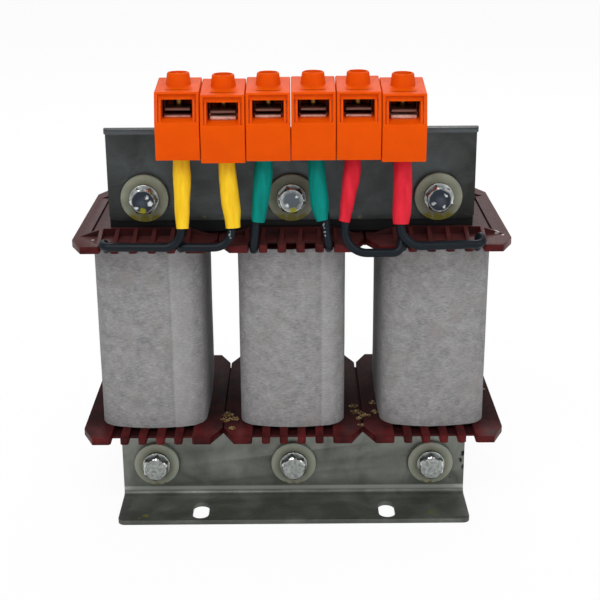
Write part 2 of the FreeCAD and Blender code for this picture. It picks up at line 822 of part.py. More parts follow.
def shrink_sleeve(number):
    points = lead_points(number)
    knee = Vector(*points[-2][:3])
    top = Vector(*points[-1][:3])
    slope = top - knee
    bottom_height, bottom_radius = shrink_sleeves[number]
    start = knee + slope * ((upper_flange_bottom + bottom_height - knee.z) / slope.z)
    end = knee + slope * ((block_bottom + shrink_top_in_block - knee.z) / slope.z)
    length = (end - start).Length
    bore = lead_diameter / 2 + shrink_bore_clearance
    parallel = length * shrink_parallel_share
    profile = [(bore, 0), (bottom_radius, 0), (shrink_top_radius, length - parallel),
               (shrink_top_radius, length), (bore, length)]
    corners = [Vector(r, 0, z) for r, z in profile]
    outline = Part.Face(Part.makePolygon(corners + [corners[0]]))
    body = outline.revolve(Vector(0, 0, 0), Vector(0, 0, 1), 360)
    body.Placement = FreeCAD.Placement(start, FreeCAD.Rotation(Vector(0, 0, 1), slope))
    return body


save("core_leg_pack", lower_core_pack())
save("core_yoke_pack", upper_core_pack())
save("lower_front_bracket", lower_bracket())
save("lower_rear_bracket", turned_to_rear(lower_bracket()))
save("upper_front_bracket", upper_front_bracket())
save("upper_rear_bracket", upper_rear_bracket())

bobbin_shape = bobbin()
winding_shape = winding()
for number, name in enumerate(leg_names):
    place = bobbin_places[number]
    save("gap_spacer_" + name, gap_spacer(leg_places[number]))
    save("bobbin_" + name, moved_along(bobbin_shape, place))
    save("winding_" + name, moved_along(winding_shape, place))
    save("paper_wrap_" + name, moved_along(paper_wrap(wrap_seams[number]), place))

save("lower_bolts", Part.makeCompound([bolt(x, z) for x, z in lower_spots]))
save("upper_bolts", Part.makeCompound([bolt(x, z) for x, z in upper_spots]))
save("hex_nuts", Part.makeCompound([nut(x, z) for x, z in bolt_spots]))
nylon = (nylon_washer_diameter, nylon_washer_thickness, plate_face)
steel = (steel_washer_diameter, steel_washer_thickness, nylon_face)
save("nylon_washers_front", Part.makeCompound(washer_set(*nylon, False)))
save("nylon_washers_rear", Part.makeCompound(washer_set(*nylon, True)))
save("steel_washers_front", Part.makeCompound(washer_set(*steel, False)))
save("steel_washers_rear", Part.makeCompound(washer_set(*steel, True)))
save("insulating_sleeves", Part.makeCompound([insulating_sleeve(x, z) for x, z in bolt_spots]))

housing_shape = terminal_housing()
frame_shape = clamp_frame()
plate_shape = press_plate()
screw_shape = terminal_screw()
block_numbers = range(len(block_places))
for number in block_numbers:
    save("terminal_housing_" + str(number + 1), set_on_lip(housing_shape, number))
    save("clamp_frame_" + str(number + 1), set_on_lip(frame_shape, number))
    save("lead_" + str(number + 1), lead(number))
    save("shrink_sleeve_" + str(number + 1), shrink_sleeve(number))
save("press_plates", Part.makeCompound([set_on_lip(plate_shape, number) for number in block_numbers]))
save("terminal_screws", Part.makeCompound([set_on_lip(screw_shape, number) for number in block_numbers]))
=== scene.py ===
# Dv-dt filter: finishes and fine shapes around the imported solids, in metres, in their frame.
import bpy
import bmesh
import math
import random
import numpy as np
from mathutils import Matrix, Vector, geometry, noise


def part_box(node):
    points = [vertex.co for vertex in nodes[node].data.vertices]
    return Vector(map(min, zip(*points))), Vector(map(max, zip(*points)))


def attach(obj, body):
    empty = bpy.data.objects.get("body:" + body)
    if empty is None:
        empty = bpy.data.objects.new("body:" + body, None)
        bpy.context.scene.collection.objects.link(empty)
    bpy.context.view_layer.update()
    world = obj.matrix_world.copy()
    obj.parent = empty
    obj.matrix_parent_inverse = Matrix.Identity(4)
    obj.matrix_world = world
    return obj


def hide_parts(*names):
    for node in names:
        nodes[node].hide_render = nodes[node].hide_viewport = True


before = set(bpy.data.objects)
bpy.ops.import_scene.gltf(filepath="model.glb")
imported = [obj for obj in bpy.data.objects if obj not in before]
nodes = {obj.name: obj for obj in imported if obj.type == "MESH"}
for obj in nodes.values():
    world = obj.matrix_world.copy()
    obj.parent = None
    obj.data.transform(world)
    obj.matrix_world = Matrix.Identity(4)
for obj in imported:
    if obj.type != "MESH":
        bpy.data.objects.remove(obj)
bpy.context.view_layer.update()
mm = 0.001
sides = ("left", "middle", "right")
print("frame loaded,", len(nodes), "nodes")


def toLinear(hexColour):
    channels = [int(hexColour[i:i + 2], 16) / 255 for i in (1, 3, 5)]
    return tuple(c / 12.92 if c <= 0.04045 else ((c + 0.055) / 1.055) ** 2.4 for c in channels) + (1.0,)


def perMetre(millimetres):
    return 1000.0 / millimetres  # a pattern's scale from the real size of what it draws


def plug(tree, value, socket):
    if isinstance(value, bpy.types.NodeSocket):
        tree.links.new(value, socket)
    else:
        socket.default_value = value


def addNode(tree, kind, inputs=None, output=0, **settings):
    # a new node with its settings, values and links; gives back one of its outputs
    node = tree.nodes.new(kind)
    for name, value in settings.items():
        setattr(node, name, value)
    for key, value in (inputs or {}).items():
        plug(tree, value, node.inputs[key])
    return node.outputs[output] if node.outputs else None


# ---- camera, matched to the photo's view ----
cameraSettings = {
    "place": (1.7, -539.6, 267.2),  # mm
    "yaw": -0.17,  # degrees, as the next two
    "pitch": 19.02,
    "roll": -0.33,
    "lens": 76.56,
    "sensor": 36.0,
}


def makeCamera(settings):
    yaw, pitch, roll = (math.radians(settings[key]) for key in ("yaw", "pitch", "roll"))
    right = Vector((math.cos(yaw), math.sin(yaw), 0))
    level = Vector((-math.sin(yaw), math.cos(yaw), 0))
    ahead = level * math.cos(pitch) - Vector((0, 0, 1)) * math.sin(pitch)
    above = Vector((0, 0, 1)) * math.cos(pitch) + level * math.sin(pitch)
    rolledRight = right * math.cos(roll) + above * math.sin(roll)
    rolledUp = above * math.cos(roll) - right * math.sin(roll)
    data = bpy.data.cameras.new("camera")
    data.lens = settings["lens"]
    data.sensor_width = settings["sensor"]
    data.clip_start = 0.02
    data.clip_end = 20
    camera = bpy.data.objects.new("camera", data)
    bpy.context.scene.collection.objects.link(camera)
    turn = Matrix((rolledRight, rolledUp, -ahead)).transposed().to_4x4()
    camera.matrix_world = Matrix.Translation(Vector(settings["place"]) * mm) @ turn
    bpy.context.scene.camera = camera


makeCamera(cameraSettings)


# ---- helpers for pieces ----
def looseObject(mesh):
    thing = bpy.data.objects.new(mesh.name, mesh)
    bpy.context.scene.collection.objects.link(thing)
    return thing


def addPiece(name, mesh, material, slot, *replaced):
    mesh.name = name
    piece = looseObject(mesh)
    mesh.materials.clear()
    mesh.materials.append(material)
    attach(piece, "root")
    if replaced:
        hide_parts(*replaced)


def pieceName(node):
    first, *rest = node.split("_")
    return first + "".join(word.capitalize() for word in rest)


def finishedMesh(source):
    # the evaluated shape as a plain mesh, and the object that made it goes
    depsgraph = bpy.context.evaluated_depsgraph_get()
    mesh = bpy.data.meshes.new_from_object(source.evaluated_get(depsgraph))
    bpy.data.objects.remove(source)
    return mesh


def formMesh(form, name):
    mesh = bpy.data.meshes.new(name)
    form.to_mesh(mesh)
    form.free()
    return mesh


def smoothShade(mesh, sharpAngle=35):
    mesh.polygons.foreach_set("use_smooth", [True] * len(mesh.polygons))
    mesh.set_sharp_from_angle(angle=math.radians(sharpAngle))
    return mesh


def tag(mesh, label, values, domain="POINT"):
    # one number for each point or face, read by a tree or a material
    mesh.attributes.new(label, "FLOAT", domain).data.foreach_set("value", values)


softening = {"weld": 0.002, "flat": 0.4, "from": 30}  # mm, and degrees for the last two


def softened(nodeName, edge):
    # a copy of a solid with its sharp edges rounded as moulding, stamping or tumbling leaves them
    form = bmesh.new()
    form.from_mesh(nodes[nodeName].data)
    bmesh.ops.remove_doubles(form, verts=form.verts, dist=softening["weld"] * mm)
    flat = math.radians(softening["flat"])
    bmesh.ops.dissolve_limit(form, angle_limit=flat, verts=form.verts, edges=form.edges)
    thing = looseObject(formMesh(form, nodeName + "Soft"))
    bevel = thing.modifiers.new("edges", "BEVEL")
    bevel.width = edge * mm
    bevel.segments = 2
    bevel.limit_method = "ANGLE"
    bevel.angle_limit = math.radians(softening["from"])
    bevel.use_clamp_overlap = True
    bevel.miter_outer = "MITER_ARC"
    return smoothShade(finishedMesh(thing))


def startTree(name, sockets):
    tree = bpy.data.node_groups.new(name, "GeometryNodeTree")
    given = {"Geometry": "Geometry", **sockets, "Finish": "Material"}
    for label, kind in given.items():
        tree.interface.new_socket(label, in_out="INPUT", socket_type="NodeSocket" + kind)
    tree.interface.new_socket("Geometry", in_out="OUTPUT", socket_type="NodeSocketGeometry")
    return tree, tree.nodes.new("NodeGroupInput").outputs


def endTree(tree, shape, finish):
    real = addNode(tree, "GeometryNodeRealizeInstances", {0: shape})
    coloured = addNode(tree, "GeometryNodeSetMaterial", {0: real, "Material": finish})
    addNode(tree, "NodeGroupOutput", {0: coloured})
    return tree


def runTree(thing, tree, values):
    # the sockets are set by identifier before the object is first evaluated
    modifier = thing.modifiers.new(tree.name, "NODES")
    modifier.node_group = tree
    for item in tree.interface.items_tree:
        if item.in_out == "INPUT" and item.name in values:
            modifier[item.identifier] = values[item.name]
    bpy.context.view_layer.update()
    return finishedMesh(thing)


# ---- materials: a base colour, and layers over it that each show where their conditions hold ----
def startMaterial(name, values):
    material = bpy.data.materials.new(name)
    material.use_nodes = True
    tree = material.node_tree
    shader = tree.nodes["Principled BSDF"]
    for key, value in values.items():
        shader.inputs[key].default_value = value
    return material, tree, shader, addNode(tree, "ShaderNodeTexCoord", None, "Object")


def patches(tree, place, size, detail=3.0, stretch=None, roughness=0.5, distortion=0.0):
    # a noise whose patches are about as wide as size, mm, and longer where the stretch is under 1
    if stretch:
        place = addNode(tree, "ShaderNodeMapping", {"Vector": place, "Scale": stretch})
    return addNode(tree, "ShaderNodeTexNoise",
                   {"Vector": place, "Scale": perMetre(size), "Detail": detail, "Roughness": roughness,
                    "Distortion": distortion})


def spotMask(tree, place, spots, wander, core=0.55):
    # 1 in the core of each spot (x, y, z, radius in mm), falling to 0 at its ragged edge
    grit = 1.6
    ragged = addNode(tree, "ShaderNodeTexNoise", {"Vector": place, "Scale": perMetre(grit), "Detail": 3.0},
                     "Color")
    moved = addNode(tree, "ShaderNodeVectorMath", {0: ragged, 1: (wander * mm,) * 3, 2: place},
                    operation="MULTIPLY_ADD")
    mask = 0.0
    for *middle, radius in spots:
        middle = tuple((value + wander / 2) * mm for value in middle)
        away = addNode(tree, "ShaderNodeVectorMath", {0: moved, 1: middle}, "Value", operation="DISTANCE")
        near = addNode(tree, "ShaderNodeMapRange", {0: away, 1: radius * mm, 2: core * radius * mm})
        mask = addNode(tree, "ShaderNodeMath", {0: mask, 1: near}, operation="MAXIMUM")
    return mask


def maskOf(tree, place, amount, conditions):
    # the amount where every condition holds, fading out between the last two numbers of each, none and full:
    # ("patches", size, detail, none, full), ("at z", none, full) in mm, ("facing z", none, full) for the
    # normal, ("either z", none, full) for it whichever way it points, or (an output, none, full);
    # besides these, ("spots", places, wander, core) and ("tagged", label)
    mask = None
    for kind, *given in conditions:
        if kind == "spots":
            part = spotMask(tree, place, *given)
        elif kind == "tagged":
            part = addNode(tree, "ShaderNodeAttribute", None, "Fac", attribute_name=given[0])
        else:
            none, full = given[-2:]
            source = kind
            if kind == "patches":
                source = patches(tree, place, *given[:-2])
            elif isinstance(kind, str):
                word, axis = kind.split()
                vector = place if word == "at" else addNode(tree, "ShaderNodeNewGeometry", None, "Normal")
                source = addNode(tree, "ShaderNodeSeparateXYZ", {0: vector}, axis.upper())
                if word == "at":
                    none, full = none * mm, full * mm
                if word == "either":
                    source = addNode(tree, "ShaderNodeMath", {0: source}, operation="ABSOLUTE")
            part = addNode(tree, "ShaderNodeMapRange", {0: source, 1: none, 2: full})
        if mask is not None:
            part = addNode(tree, "ShaderNodeMath", {0: mask, 1: part}, operation="MULTIPLY")
        mask = part
    return addNode(tree, "ShaderNodeMath", {0: mask, 1: amount}, operation="MULTIPLY")


def layered(tree, place, colour, layers):
    # each layer is its tint, its amount and its conditions
    colour = toLinear(colour) if isinstance(colour, str) else colour
    for tint, amount, *conditions in layers:
        share = maskOf(tree, place, amount, conditions)
        colour = addNode(tree, "ShaderNodeMix", {0: share, 6: colour, 7: toLinear(tint)}, 2, data_type="RGBA")
    return colour


def finishShader(tree, shader, place, colour, layers, rough=(), relief=None):
    # rough is a level and what adds to it, as amounts with conditions; relief is a height, strength and depth
    plug(tree, layered(tree, place, colour, layers), shader.inputs["Base Color"])
    if rough:
        level, *parts = rough
        for amount, *conditions in parts:
            part = maskOf(tree, place, amount, conditions)
            level = addNode(tree, "ShaderNodeMath", {0: part, 1: level}, operation="ADD")
        plug(tree, level, shader.inputs["Roughness"])
    if relief:
        height, strength, depth = relief
        height = patches(tree, place, *height) if isinstance(height, tuple) else height
        bump = addNode(tree, "ShaderNodeBump",
                       {"Height": height, "Strength": strength, "Distance": depth * mm})
        plug(tree, bump, shader.inputs["Normal"])


def layeredMaterial(name, values, colour, layers, rough=(), relief=None):
    material, tree, shader, place = startMaterial(name, values)
    finishShader(tree, shader, place, colour, layers, rough, relief)
    return material


def varnishedSheetSteel():
    # electrical steel sheets dipped in varnish: near black, their cut edges browner and no two quite alike
    look = {"sheet": 0.5, "face": "#121315", "edge": "#322d29", "rust": "#33271f"}
    material, tree, shader, place = startMaterial("varnished sheet steel", {
        "Metallic": 0.3, "Roughness": 0.45, "Specular IOR Level": 0.3})
    depth = addNode(tree, "ShaderNodeSeparateXYZ", {0: place}, "Y")
    depth = addNode(tree, "ShaderNodeMath", {0: depth, 1: perMetre(look["sheet"])}, operation="MULTIPLY")
    number = addNode(tree, "ShaderNodeMath", {0: depth}, operation="FLOOR")
    tone = addNode(tree, "ShaderNodeTexWhiteNoise", {"W": number}, noise_dimensions="1D")
    finishShader(tree, shader, place, look["face"], [
        (look["edge"], 1.0, ("either y", 1.0, 0.0), (tone, 0.0, 1.0)),
        (look["rust"], 0.5, ("patches", 14, 4.0, 0.58, 0.75))])
    return material


def rolledSheet(name, look):
    # rolled and plated steel sheet: fine drawn lines, soft clouds, and what varnish and handling left on it,
    # with painted light that changes with height and across the sheet, and a painted highlight along the bend
    material, tree, shader, place = startMaterial(name, {"Metallic": look["metallic"]})
    lines = patches(tree, place, 0.5, 2.0, look["grain"])
    clouds = patches(tree, place, look["cloud"], 5.0, None, 0.55, 0.6)
    across = addNode(tree, "ShaderNodeSeparateXYZ", {0: place}, "X")
    height = addNode(tree, "ShaderNodeSeparateXYZ", {0: place}, "Z")
    rise = addNode(tree, "ShaderNodeMapRange", {
        0: height, 1: look["low"] * mm, 2: look["high"] * mm,
        3: look["lift"] - look["gradient"], 4: look["lift"] + look["gradient"]})
    # painted light: the level rises with height by the gradient, leans to one side by the tilt and falls off
    # towards the ends by the arch
    halfWidth = 75  # mm
    across = addNode(tree, "ShaderNodeMath", {0: across, 1: perMetre(halfWidth)}, operation="MULTIPLY")
    slope = addNode(tree, "ShaderNodeMath", {0: across, 1: -look["arch"], 2: -look["tilt"]},
                    operation="MULTIPLY_ADD")
    level = addNode(tree, "ShaderNodeMath", {0: across, 1: slope, 2: rise}, operation="MULTIPLY_ADD")
    level = addNode(tree, "ShaderNodeMath", {0: level, 1: clouds}, operation="ADD")
    colour = layered(tree, place, look["dark"], [(look["light"], 1.0, (level, *look["spread"]))])
    streak = addNode(tree, "ShaderNodeMapRange", {
        0: lines, 1: 0.35, 2: 0.65, 3: 1 - look["streak"], 4: 1 + look["streak"]})
    colour = addNode(tree, "ShaderNodeVectorMath", {0: colour, "Scale": streak}, operation="SCALE")
    # a painted highlight in a band along the bend
    bend = look["bend"]
    layers = [(look["bendHighlight"], 0.85, ("at z", bend - 1.2, bend - 0.5), ("at z", bend + 1.2, bend + 0.5)),
              (look["light"], look["flecks"], ("patches", 1.1, 3.0, 0.66, 0.72))]
    layers += [(tint, 1.0, ("spots", *spots)) for tint, *spots in look["spots"]]
    finishShader(tree, shader, place, colour, layers,
                 (look["rough"], (0.14, ("patches", 1.1, 3.0, 0.3, 0.7))), (lines, 0.25, 0.02))
    return material


# in these looks low, high, gradient, lift, tilt and arch paint light and shade across the sheet, and the
# bend's tint is a painted highlight
galvanisedLook = {
    "metallic": 0.7, "rough": 0.36, "grain": (1.0, 1.0, 0.12), "streak": 0.035, "cloud": 16.0, "flecks": 0.3,
    "low": 0.0, "high": 33.0, "gradient": 0.22, "tilt": 0.0, "arch": 0.0, "lift": 0.0, "spread": (0.24, 0.76),
    "dark": "#565953", "light": "#888b84", "bend": 4.6, "bendHighlight": "#b4b7b0",
    "spots": [
        ("#7f7a3c", [(-63.5, -52.5, 2.0, 1.7), (-66.0, -54.5, 2.0, 1.0), (59.0, -51.0, 2.0, 1.6),
                     (61.5, -53.5, 2.0, 0.9), (-64.0, -32.0, 20.5, 0.8), (-49.5, -32.0, 28.0, 1.3),
                     (50.5, -32.0, 31.0, 1.2)], 1.5),
        ("#0c0d0e", [(74.6, -32.0, 20.5, 1.4), (73.4, -32.0, 17.0, 1.1), (74.8, -32.0, 14.0, 1.3),
                     (68.8, -32.0, 9.0, 0.7)], 3.0),
    ],
}
darkPlateLook = {
    "metallic": 0.65, "rough": 0.38, "grain": (0.12, 1.0, 1.0), "streak": 0.05, "cloud": 19.0, "flecks": 0.4,
    "low": 127.0, "high": 166.0, "gradient": 0.03, "tilt": 0.06, "arch": 0.42, "lift": 0.16,
    "spread": (0.18, 0.82), "dark": "#272926", "light": "#575c5e", "bend": 165.0, "bendHighlight": "#50565a",
    "spots": [
        ("#66644a", [(14.0, -32.0, 128.4, 0.9), (79.0, -32.0, 131.5, 0.8), (22.0, -32.0, 128.6, 0.8),
                     (28.0, -32.0, 128.3, 0.9), (-28.0, -32.0, 128.3, 0.7), (-36.0, -32.0, 128.6, 0.7)], 2.2),
    ],
}


def zincPlatedSteel(name, look):
    # rolled and turned steel with zinc: stamped faces a little dull, a painted highlight on the chamfers and
    # a painted dark reflection on the flanks
    layers = [(look["light"], 1.0, ("patches", 1.4, 4.0, 0.35, 0.62)),
              (look["speck"], 0.5, ("patches", 0.8, 2.0, 0.62, 0.7))]
    layers += [(tint, 1.0, ("spots", *spots)) for tint, *spots in look["spots"]]
    # painted highlight on the chamfers, and painted dark reflection on the flanks
    layers += [(look["worn"], 0.8, ("either y", 0.45, 0.6), ("either y", 0.97, 0.9)),
               (look["flank"], 0.75, ("either y", 0.3, 0.15))]
    return layeredMaterial(name, {"Metallic": 1.0}, look["dark"], layers,
                           (look["shine"], (0.4 - look["shine"], ("either y", 0.9, 0.98))),
                           ((0.8, 2.0), 0.35, 0.04))


brightZincLook = {
    "dark": "#8e9290", "light": "#b9bebb", "speck": "#4c504e", "worn": "#e4e8e8", "flank": "#465054",
    "shine": 0.16,
    "spots": [
        ("#33373f", [(-60.0, -39.4, 137.0, 5.0), (60.0, -39.4, 137.0, 4.9)], 0.8, 0.85),
        ("#4a5058", [(-60.6, -39.4, 136.4, 2.7), (60.4, -39.4, 136.6, 2.8)], 2.4, 0.2),
        ("#5b6167", [(0.0, -39.4, 137.2, 4.8)], 2.0, 0.6),
        # painted highlights round the heads' chamfers
        ("#dfe4e4", [(-58.4, -39.4, 138.9, 1.3), (-57.2, -39.4, 136.4, 1.1), (-62.9, -39.4, 134.6, 0.9),
                     (57.7, -39.4, 135.9, 0.9), (61.8, -39.4, 134.4, 0.8), (62.4, -39.4, 138.9, 0.9),
                     (2.0, -39.4, 138.8, 0.9), (-2.0, -39.4, 135.0, 0.9)], 2.6, 0.3),
        ("#8f8c2e", [(-60.4, -39.4, 133.0, 1.7), (0.4, -39.4, 132.9, 1.8)], 2.2, 0.5),
    ],
}
# the screws' colours are darkened as painted shade inside the terminals' mouths, and a painted highlight sits
# on each screw's tip
yellowZincLook = {
    "dark": "#2c1f12", "light": "#4d3a20", "speck": "#1f160c", "worn": "#6b5433", "flank": "#2c1f12",
    "shine": 0.3,
    "spots": [("#b08c42", [((number - 2.5) * 17.5, -43.4, 178.8, 1.5) for number in range(6)], 0.4, 0.7)],
}


def nonwovenWrap():
    # pressed polyester fibre paper: short fibres lying round the coil, mottled grey, no shine
    look = {"dark": "#6c6b6d", "light": "#a09f9f", "warm": "#877f7d", "flap": "#a9a8a8", "seam": "#757474"}
    material, tree, shader, place = startMaterial("nonwoven fibre wrap", {
        "Roughness": 0.85, "Specular IOR Level": 0.2})
    lying = (0.28, 0.28, 1.0)
    fibre = patches(tree, place, 0.28, 3.0, lying, 0.6, 0.8)
    streak = patches(tree, place, 0.45, 3.0, lying, 0.55, 0.4)
    both = addNode(tree, "ShaderNodeMix", {0: 0.6, 2: fibre, 3: streak})
    mottled = addNode(tree, "ShaderNodeMix", {0: 0.3, 2: both, 3: patches(tree, place, 4.0)})
    finishShader(tree, shader, place, look["dark"], [
        (look["light"], 1.0, (mottled, 0.34, 0.66)),
        (look["warm"], 0.45, ("patches", 12, 3.0, 0.5, 0.7)),
        (look["flap"], 0.45, ("tagged", "onFlap"), ("at x", 32, 28)),  # the third coil's is no paler
        # a painted contact shadow along the flap's free edge, partly adhesive stain
        (look["seam"], 0.3, ("tagged", "atSeam")),
    ], relief=(both, 0.4, 0.08))
    return material


def enamelledCopper():
    # drawn copper wire in clear enamel: warm, glossy, the wound rows swelling slowly up the coil
    swell = 10.05  # mm from one swell to the next; a wave texture draws 10 / pi bands at a scale of 1
    material, tree, shader, place = startMaterial("enamelled copper wire", {
        "Metallic": 0.9, "Roughness": 0.3})
    swells = addNode(tree, "ShaderNodeTexWave", {
        "Vector": place, "Scale": perMetre(swell) * math.pi / 10, "Distortion": 0.2},
        "Fac", bands_direction="Z")
    finishShader(tree, shader, place, "#a5562a", [], relief=(swells, 0.8, 0.5))
    return material


def glassLaminate():
    # pressed glass-cloth laminate: yellow-brown, dull, with a fine weave
    thread = 1.0
    material, tree, shader, place = startMaterial("glass laminate", {"Roughness": 0.55, "IOR": 1.52})
    weave = addNode(tree, "ShaderNodeTexChecker", {
        "Vector": place, "Scale": perMetre(thread),
        "Color1": toLinear("#8d7b3f"), "Color2": toLinear("#7a6a36")})
    finishShader(tree, shader, place, weave, [])
    return material


def stampedMetal(name, dark, light, above, metallic):
    # stamped copper alloy with thin tin: soft shine, browner where it's thin, and its own tint above the
    # wire's bed, which on the clamp frame is painted shade
    return layeredMaterial(name, {"Metallic": metallic, "Roughness": 0.45}, dark, [
        (light, 1.0, ("patches", 2.2, 4.0, 0.35, 0.65)),
        (above, 1.0, ("at z", 174.0, 174.4)),
    ], relief=((2.2, 4.0), 0.3, 0.04))


def shrinkTube(name, shade, body):
    # cross-linked polyolefin shrunk with hot air: even colour, satin gloss, faint lengthwise puckers
    pucker = (2.0, 3.0, (1.0, 1.0, 0.15))
    return layeredMaterial(name, {"IOR": 1.5, "Specular IOR Level": 0.09}, shade,
                           [(body, 1.0, ("patches", *pucker, 0.3, 0.7))],
                           (0.32, (0.14, ("patches", *pucker, 0.3, 0.7))), (pucker, 0.4, 0.15))


coreFinish = varnishedSheetSteel()
galvanisedFinish = rolledSheet("galvanised sheet", galvanisedLook)
darkPlateFinish = rolledSheet("dark varnished sheet", darkPlateLook)
zincFinish = zincPlatedSteel("bright zinc on steel", brightZincLook)
screwFinish = zincPlatedSteel("yellow zinc on steel", yellowZincLook)
wrapFinish = nonwovenWrap()
copperFinish = enamelledCopper()
laminateFinish = glassLaminate()
# the clamp frame's near-black red above the wire's bed is painted shade in the mouth
barFinish = stampedMetal("tinned copper bar", "#bd9080", "#e3bcae", "#47150c", 0.4)
pressPlateFinish = stampedMetal("brass press plate", "#5d3f35", "#8c6556", "#7a574b", 0.6)
sleeveFinishes = [
    ("yellow_shrink", shrinkTube("yellow shrink tube", "#e4b41e", "#f6cc2c")),
    ("green_shrink", shrinkTube("green shrink tube", "#006f66", "#00867c")),
    ("red_shrink", shrinkTube("red shrink tube", "#c21e2e", "#dc2a3c")),
]

# punched nylon sheet: milky and greenish over dark steel, yellow where varnish has run down its edge, with
# painted shadow round each bolt and painted light on the lower washers
coilPlaces = (-60.0, 0.0, 60.0)
shadowRoundBolts = [(x, y, z, 8.7) for x in coilPlaces for y in (-33.5, 33.5) for z in (17.0, 137.0)]
varnishRuns = [(x + step * side, -33.0, z, radius) for x in coilPlaces for side in (-1, 0, 1)
               for z, step, radius in ((128.0, 4.6, 3.6), (7.4, 3.5, 1.7))]
nylonFinish = layeredMaterial(
    "natural nylon",
    {"Roughness": 0.4, "IOR": 1.53, "Specular IOR Level": 0.35, "Subsurface Weight": 0.25,
     "Subsurface Scale": 0.8 * mm},
    "#787b6a", [
        ("#878a79", 1.0, ("patches", 5, 3.0, 0.35, 0.65)),
        # painted light: paler low down
        ("#9a9d90", 0.7, ("at z", 60, 40)),
        # painted shadow round each bolt
        ("#6c6f5c", 1.0, ("spots", shadowRoundBolts, 0.6, 0.72)),
        ("#6a6214", 1.0, ("spots", varnishRuns, 1.8)),
    ])

# glass-filled moulding compound under dip varnish: maroon, glossy on its edges, with a painted grey sheen on
# the upper flat pads, painted shade in the recesses and on the lower flanges towards the back, with dried
# lumps and chips
crustPlaces = [  # x, y, z and radius in mm, where dip varnish has dried in lumps beside the coils
    (-28.8, -24.3, 36.4, 2.6), (-29.3, -29.6, 36.4, 2.4), (-25.5, -28.7, 36.4, 1.8),
    (-26.5, -38.5, 36.4, 1.6), (26.7, -15.5, 36.4, 2.2), (27.7, -22.1, 36.4, 2.4),
    (28.8, -29.0, 36.4, 1.6), (29.2, -36.0, 36.4, 1.2), (31.5, -25.4, 36.4, 2.4),
    (35.6, -12.0, 36.4, 1.8), (36.4, -22.2, 36.4, 1.8), (87.0, 2.0, 36.4, 1.2),
]
chipPlaces = [(81.8, -30.0, 121.0, 1.5), (84.6, -31.4, 121.0, 1.4), (87.2, -34.0, 121.0, 0.9),
              (29.0, -48.2, 120.6, 1.1), (-81.3, -37.9, 121.0, 0.8)]
betweenCoils = (("at y", -44, -30), ("at z", 60, 40))
bobbinFinish = layeredMaterial(
    "moulded phenolic, varnished", {"IOR": 1.55, "Specular IOR Level": 0.09}, "#300b0d", [
        ("#5c1a1b", 1.0, ("patches", 9, 5.0, 0.32, 0.68)),
        # painted sheen on the upward faces of the upper flanges and pads
        ("#4b2a29", 0.8, ("facing z", 0.0, 1.0), ("at z", 112, 119)),
        # painted shade on the floors of the upper flanges' recesses
        ("#1d0708", 0.75, ("facing z", 0.3, 0.8), ("at z", 120.4, 118.6), ("at z", 110, 116)),
        # painted shade on the floors of the lower flanges' recesses and on the joint sheets
        ("#1d0708", 0.75, ("facing z", 0.3, 0.8), ("at z", 35.6, 34.0)),
        # painted shade on the lower flanges, deeper towards the back
        ("#170a0b", 0.75, *betweenCoils),
        # painted shade on the far walls of the upper flanges' pockets
        ("#170a0b", 0.6, ("facing y", -0.3, -0.8), ("at y", -47.6, -46.2), ("at z", 117, 119)),
        ("#5a401c", 1.0, ("spots", crustPlaces, 3.6)),
        ("#8d6e34", 1.0, ("spots", crustPlaces, 4.4), ("patches", 0.7, 4.0, 0.56, 0.6)),
        ("#8d6e34", 1.0, ("spots", [(43.6, -47.4, 118.4, 1.1)], 1.5)),
        ("#d9d5cf", 1.0, ("spots", chipPlaces, 1.8)),
    ],
    (0.3, (0.2, ("patches", 0.7, 4.0, 0.3, 0.7)), (0.375, *betweenCoils)), ((0.7, 4.0), 0.35, 0.06))

# injection-moulded polyamide: strong orange, fine spark-eroded grain, light soaking in below its surface,
# painted shade in the small mark and painted light in the narrow slots
housingFinish = layeredMaterial(
    "moulded orange polyamide",
    {"IOR": 1.53, "Specular IOR Level": 0.05, "Subsurface Weight": 0.25, "Subsurface Scale": 1.6 * mm,
     "Subsurface Radius": (1.0, 0.25, 0.05)},
    "#da4d00", [
        ("#e15200", 1.0, ("patches", 8, 3.0, 0.3, 0.7)),
        # painted shade in the small mark on the slope
        ("#7a1e00", 1.0, ("tagged", "inMark")),
        # painted light on the narrow slots' walls
        ("#ff9a50", 1.0, ("tagged", "byThinWall")),
    ],
    (0.36, (0.14, ("patches", 0.45, 2.0, 0.3, 0.7))), ((0.45, 2.0), 0.25, 0.03))

# extruded PVC: blue-black, soft gloss, small pale scuffs where it rubbed in fitting
scuffPlaces = [(12.7, -48.6, 129.6, 0.7), (12.9, -48.8, 128.2, 0.6), (12.9, -48.8, 126.6, 0.6),
               (13.4, -48.9, 125.2, 0.5), (-24.4, -51.6, 127.9, 0.5), (-24.9, -51.8, 126.6, 0.5),
               (-24.4, -52.0, 125.4, 0.5)]
leadFinish = layeredMaterial(
    "extruded wire insulation", {"IOR": 1.5, "Specular IOR Level": 0.16}, "#0a1015", [
        ("#151e26", 1.0, ("patches", 4, 4.0, 0.0, 1.0)),
        ("#8b9498", 1.0, ("spots", scuffPlaces, 2.2)),
    ],
    (0.28, (0.16, ("patches", 4, 4.0, 0.3, 0.7))))

# dip varnish dried in the air: honey to dark brown, glossy
crustFinish = layeredMaterial("dried dip varnish", {"Roughness": 0.25, "IOR": 1.55}, "#38241a",
                              [("#937748", 1.0, ("patches", 1.2, 3.0, 0.4, 0.62))])
print("materials made")


# ---- core: sheets stacked front to back, by Geometry Nodes ----
coreSettings = {"sheet": 0.5, "gap": 0.05, "jitter": 0.07, "seed": 7, "holePlay": 0.1, "holeSides": 24}


